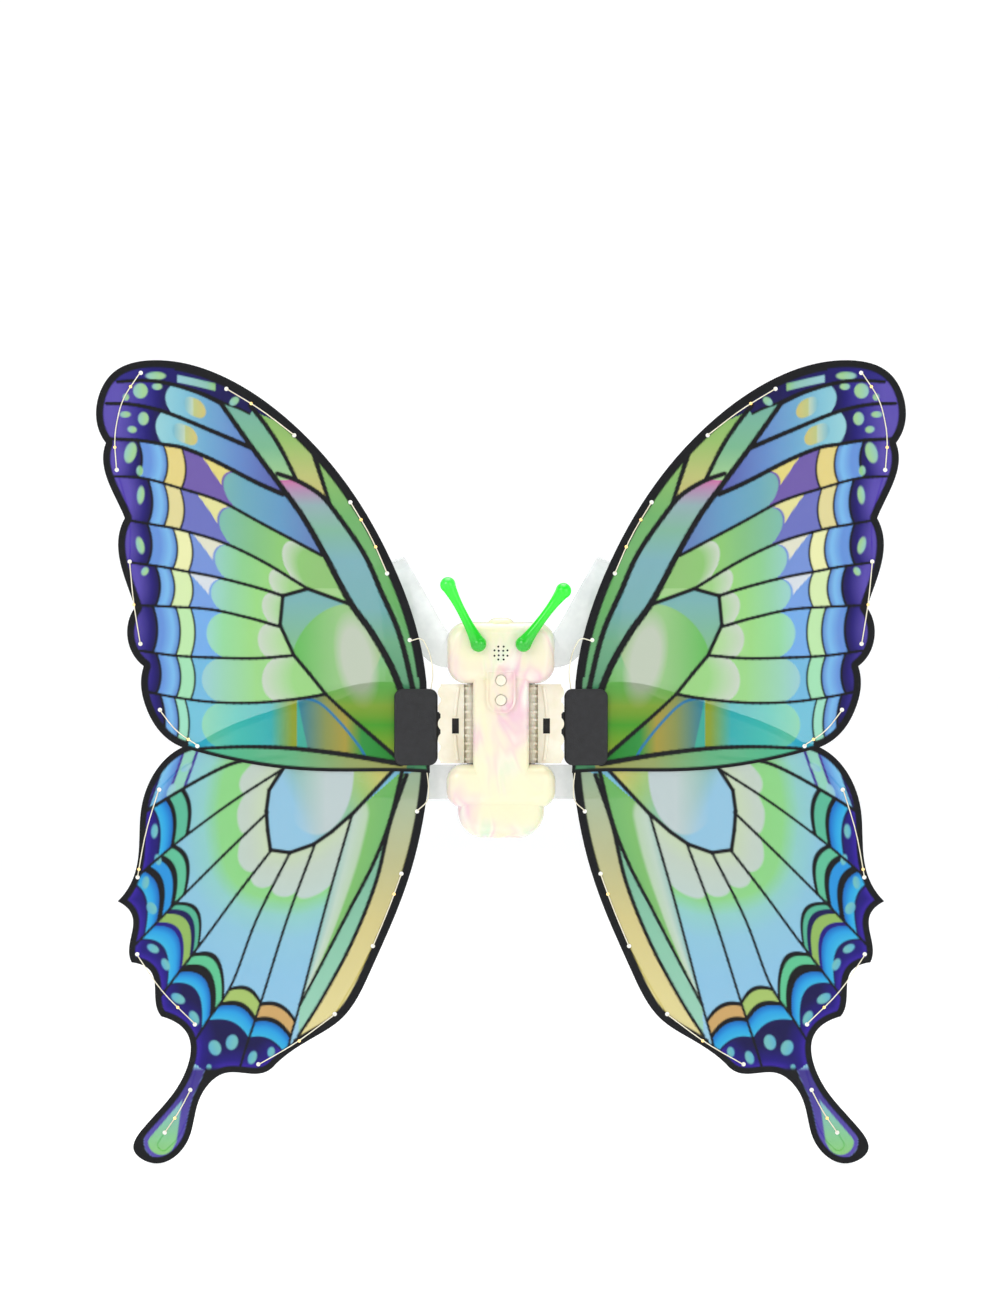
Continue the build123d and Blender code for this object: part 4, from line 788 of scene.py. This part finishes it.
def pearl_shell():
    """Milky translucent plastic with diagonal pastel streaks and a pearly skin."""
    made = Finish("pearl_shell", Coat_Weight=0.7, Coat_Roughness=0.12, Subsurface_Weight=0.22,
                  Subsurface_Scale=0.006, Thin_Film_Thickness=420.0, Thin_Film_IOR=1.45)
    streaks = made.noise(34.0, 2.0, made.place((1.0, 1.0, 0.34), (0, 38, 0)), 0.9)
    tint = made.colours(streaks, (0.30, "ebe2ba"), (0.40, "ead8cc"), (0.46, "e8bccb"), (0.52, "efe6de"),
                        (0.57, "bde0c4"), (0.62, "dcd2ea"), (0.70, "ece0b4"))
    clouds = made.noise(18.0, 2.0)
    cream = made.colours(clouds, (0.35, "efe6c2"), (0.65, "ecdfcc"))
    made.wire(Base_Color=made.blend(made.colours(clouds, (0.40, "404040"), (0.60, "f0f0f0")), cream, tint))
    made.wire(Roughness=made.span(made.noise(60.0), 0.16, 0.30))
    made.bump(made.noise(420.0, 2.0), 0.05, 0.0002)
    return made.material


def socket_plastic():
    """Warm ivory moulded plastic."""
    made = Finish("socket_plastic", Coat_Weight=0.25, Coat_Roughness=0.25, Subsurface_Weight=0.15,
                  Subsurface_Scale=0.003)
    ivory = made.colours(made.noise(55.0, 4.0), (0.35, "e2d9c0"), (0.55, "eae3cf"), (0.7, "f0ead9"))
    made.wire(Base_Color=ivory)
    made.wire(Roughness=made.span(made.noise(140.0), 0.28, 0.44))
    made.bump(made.noise(900.0, 2.0), 0.12, 0.0002)
    return made.material


def black_plastic():
    """Black plastic with a fine leather-like moulded grain."""
    made = Finish("black_plastic")
    made.wire(Base_Color=made.colours(made.noise(240.0, 3.0), (0.3, "07070a"), (0.7, "121217")))
    made.wire(Roughness=made.span(made.noise(180.0), 0.42, 0.60))
    made.bump(made.cells(1100.0), 0.35, 0.0003)
    return made.material


def printed_film():
    """Clear film printed in colour, with the faint weave of its print and a soft gloss."""
    made = Finish("printed_film", Coat_Weight=0.08, Coat_Roughness=0.12, Specular_IOR_Level=0.2)
    paint = made.nodes.new("ShaderNodeVertexColor")
    paint.layer_name = "print"
    made.wire(Base_Color=paint.outputs["Color"], Alpha=paint.outputs["Alpha"])
    made.wire(Roughness=made.span(made.noise(30.0), 0.30, 0.42))
    made.bump(made.lines(260.0, made.place((1, 1, 1), (0, 45, 0))), 0.06, 0.0001)
    return made.material


def clear_strap():
    """Clear soft plastic, a little milky."""
    made = Finish("clear_strap", Coat_Weight=0.6, Coat_Roughness=0.08, IOR=1.48)
    haze = made.noise(70.0, 3.0)
    made.wire(Base_Color=made.colours(haze, (0.3, "e8eeec"), (0.7, "f6f8f6")))
    made.wire(Alpha=made.span(haze, 0.34, 0.46))
    made.wire(Roughness=made.span(made.noise(160.0), 0.12, 0.24))
    made.bump(made.noise(90.0, 2.0), 0.10, 0.0006)
    return made.material


def clear_green():
    """Green plastic lit from inside, brighter towards the ball."""
    made = Finish("clear_green", Coat_Weight=0.6, Coat_Roughness=0.1, Subsurface_Weight=0.3,
                  Subsurface_Scale=0.004, Emission_Strength=0.55)
    height = made.nodes.new("ShaderNodeSeparateXYZ")
    made.links.new(made.place((1, 1, 8.0)), height.inputs["Vector"])
    glow = made.colours(height.outputs["Z"], (0.46, "0a9c14"), (0.60, "04bc0a"), (0.78, "06d414"),
                        (0.86, "3ce04c"))
    made.wire(Base_Color=glow, Emission_Color=glow)
    made.wire(Roughness=made.span(made.noise(120.0), 0.18, 0.30))
    made.bump(made.noise(300.0), 0.04, 0.0002)
    return made.material


def metal(name, dark, light, rough):
    """Drawn or machined metal with fine scratches."""
    made = Finish(name, Metallic=1.0)
    grain = made.noise(90.0, 4.0, made.place((1.0, 1.0, 14.0)))
    made.wire(Base_Color=made.colours(grain, (0.3, dark), (0.7, light)))
    made.wire(Roughness=made.span(grain, rough, rough + 0.16))
    made.bump(grain, 0.08, 0.0001)
    return made.material


def plain_plastic(name, dark, light, rough=0.35):
    """Moulded plastic with a slight unevenness."""
    made = Finish(name, Coat_Weight=0.2, Coat_Roughness=0.2)
    made.wire(Base_Color=made.colours(made.noise(120.0, 3.0), (0.35, dark), (0.65, light)))
    made.wire(Roughness=made.span(made.noise(260.0), rough, rough + 0.14))
    made.bump(made.noise(700.0), 0.08, 0.0001)
    return made.material


def circuit():
    """Green solder mask with copper runs."""
    made = Finish("circuit", Coat_Weight=0.4, Coat_Roughness=0.15)
    runs = made.cells(420.0)
    made.wire(Base_Color=made.colours(runs, (0.30, "0f5a2c"), (0.46, "1b7a3d"), (0.60, "b98a3a")))
    made.wire(Roughness=made.span(runs, 0.25, 0.5))
    made.bump(runs, 0.2, 0.0001)
    return made.material


def lamp_resin():
    """Small warm lamps that glow."""
    made = Finish("lamp_resin", Coat_Weight=0.5, Emission_Strength=0.8)
    warm = made.colours(made.noise(400.0), (0.3, "f2b84a"), (0.7, "ffe2a0"))
    made.wire(Base_Color=warm, Emission_Color=warm)
    made.wire(Roughness=made.span(made.noise(500.0), 0.15, 0.3))
    made.bump(made.noise(900.0), 0.05, 0.0001)
    return made.material


MATERIALS = {
    "pearl_shell": pearl_shell(),
    "socket_plastic": socket_plastic(),
    "black_plastic": black_plastic(),
    "printed_film": printed_film(),
    "clear_green": clear_green(),
    "clear_strap": clear_strap(),
    "steel": metal("steel", "8f9296", "c9ccd0", 0.24),
    "brass": metal("brass", "a88838", "d8bc6a", 0.26),
    "white_plastic": plain_plastic("white_plastic", "e6e4dc", "f6f4ee"),
    "circuit": circuit(),
    "cell_wrap": plain_plastic("cell_wrap", "1a1d22", "2f6a3c", 0.25),
    "wire_jacket": plain_plastic("wire_jacket", "e4dcc0", "f4eed8", 0.3),
    "lamp_resin": lamp_resin(),
}


def finish_nodes():
    """Every CAD node keeps its shape and gets its slot's finish."""
    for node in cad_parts.values():
        for place in node.material_slots:
            name = place.material.name.split(".")[0]
            place.material = MATERIALS[name]


# ---------------------------------------------------------------- floor, lights and camera

FLOOR_R = 4.5    # the flat floor's radius, in metres, as are the two below
BEND_R = 1.5     # the bend's radius from the floor to the wall
WALL_TOP = 3.4   # height of the wall above the floor
BEND_STEPS = 12
ROUND_STEPS = 96


def make_stage(floor_z):
    """A pale round floor that curves up into a low wall all round."""
    profile = [(FLOOR_R * i / 3, 0.0) for i in (1, 2, 3)]
    for i in range(1, BEND_STEPS + 1):
        angle = math.radians(90 * i / BEND_STEPS)
        profile.append((FLOOR_R + BEND_R * math.sin(angle), BEND_R * (1 - math.cos(angle))))
    profile.append((FLOOR_R + BEND_R, WALL_TOP))
    mesh = bmesh.new()
    middle = mesh.verts.new((0, 0, floor_z))
    rings = []
    turns = [2 * math.pi * k / ROUND_STEPS for k in range(ROUND_STEPS)]
    for radius, height in profile:
        ring = [(radius * math.cos(turn), radius * math.sin(turn), floor_z + height) for turn in turns]
        rings.append([mesh.verts.new(point) for point in ring])
    for k in range(ROUND_STEPS):
        after = (k + 1) % ROUND_STEPS
        mesh.faces.new((middle, rings[0][k], rings[0][after]))
        for first, second in zip(rings[:-1], rings[1:]):
            mesh.faces.new((first[k], second[k], second[after], first[after]))
    data = bpy.data.meshes.new("studio_floor")
    mesh.to_mesh(data)
    mesh.free()
    for polygon in data.polygons:
        polygon.use_smooth = True
    floor = bpy.data.objects.new("studio_floor", data)
    bpy.context.scene.collection.objects.link(floor)
    paper = Finish("studio_paper", Roughness=0.85, Specular_IOR_Level=0.1, Emission_Strength=0.24,
                   Emission_Color=(1.0, 1.0, 1.0, 1.0))
    paper.wire(Base_Color=paper.colours(paper.noise(1.2), (0.3, "f4f4f4"), (0.7, "f8f8f8")))
    data.materials.append(paper.material)


def area_light(name, place, size, power):
    """A round soft lamp that faces the pack; size in metres, power in watts."""
    data = bpy.data.lights.new(name, "AREA")
    data.shape = "DISK"
    data.size = size
    data.energy = power
    lamp = bpy.data.objects.new(name, data)
    lamp.location = place
    lamp.rotation_euler = (-Vector(place)).to_track_quat("-Z", "Y").to_euler()
    bpy.context.scene.collection.objects.link(lamp)


def make_lights():
    """A key light from the upper left, a weak fill, a light from above, and an even pale room."""
    area_light("key_light", (-1.6, -2.4, 1.5), 1.6, 21)
    area_light("fill_light", (1.8, -2.2, 0.7), 1.8, 9)
    area_light("top_light", (0, 0.4, 2.4), 1.6, 12)
    area_light("room_light", (0, 0, 4.2), 5.0, 105)
    world = bpy.data.worlds.new("studio")
    world.use_nodes = True
    background = world.node_tree.nodes["Background"]
    background.inputs["Color"].default_value = (*rgb("f4f7fa"), 1.0)
    background.inputs["Strength"].default_value = 0.42
    bpy.context.scene.world = world


def make_camera():
    """A long lens, level and square to the pack's front."""
    data = bpy.data.cameras.new("camera")
    data.lens = 116.2
    data.sensor_width = 36.0
    camera = bpy.data.objects.new("camera", data)
    camera.location = (-0.0007, -3.02, 0.0572)
    camera.rotation_euler = (math.radians(90), 0, 0)
    bpy.context.scene.collection.objects.link(camera)
    bpy.context.scene.camera = camera


bpy.context.scene.view_settings.view_transform = "Standard"
make_camera()
finish_nodes()
make_films()
make_straps()
make_stage(cad_box[0].z - 0.5 * MM)
make_lights()
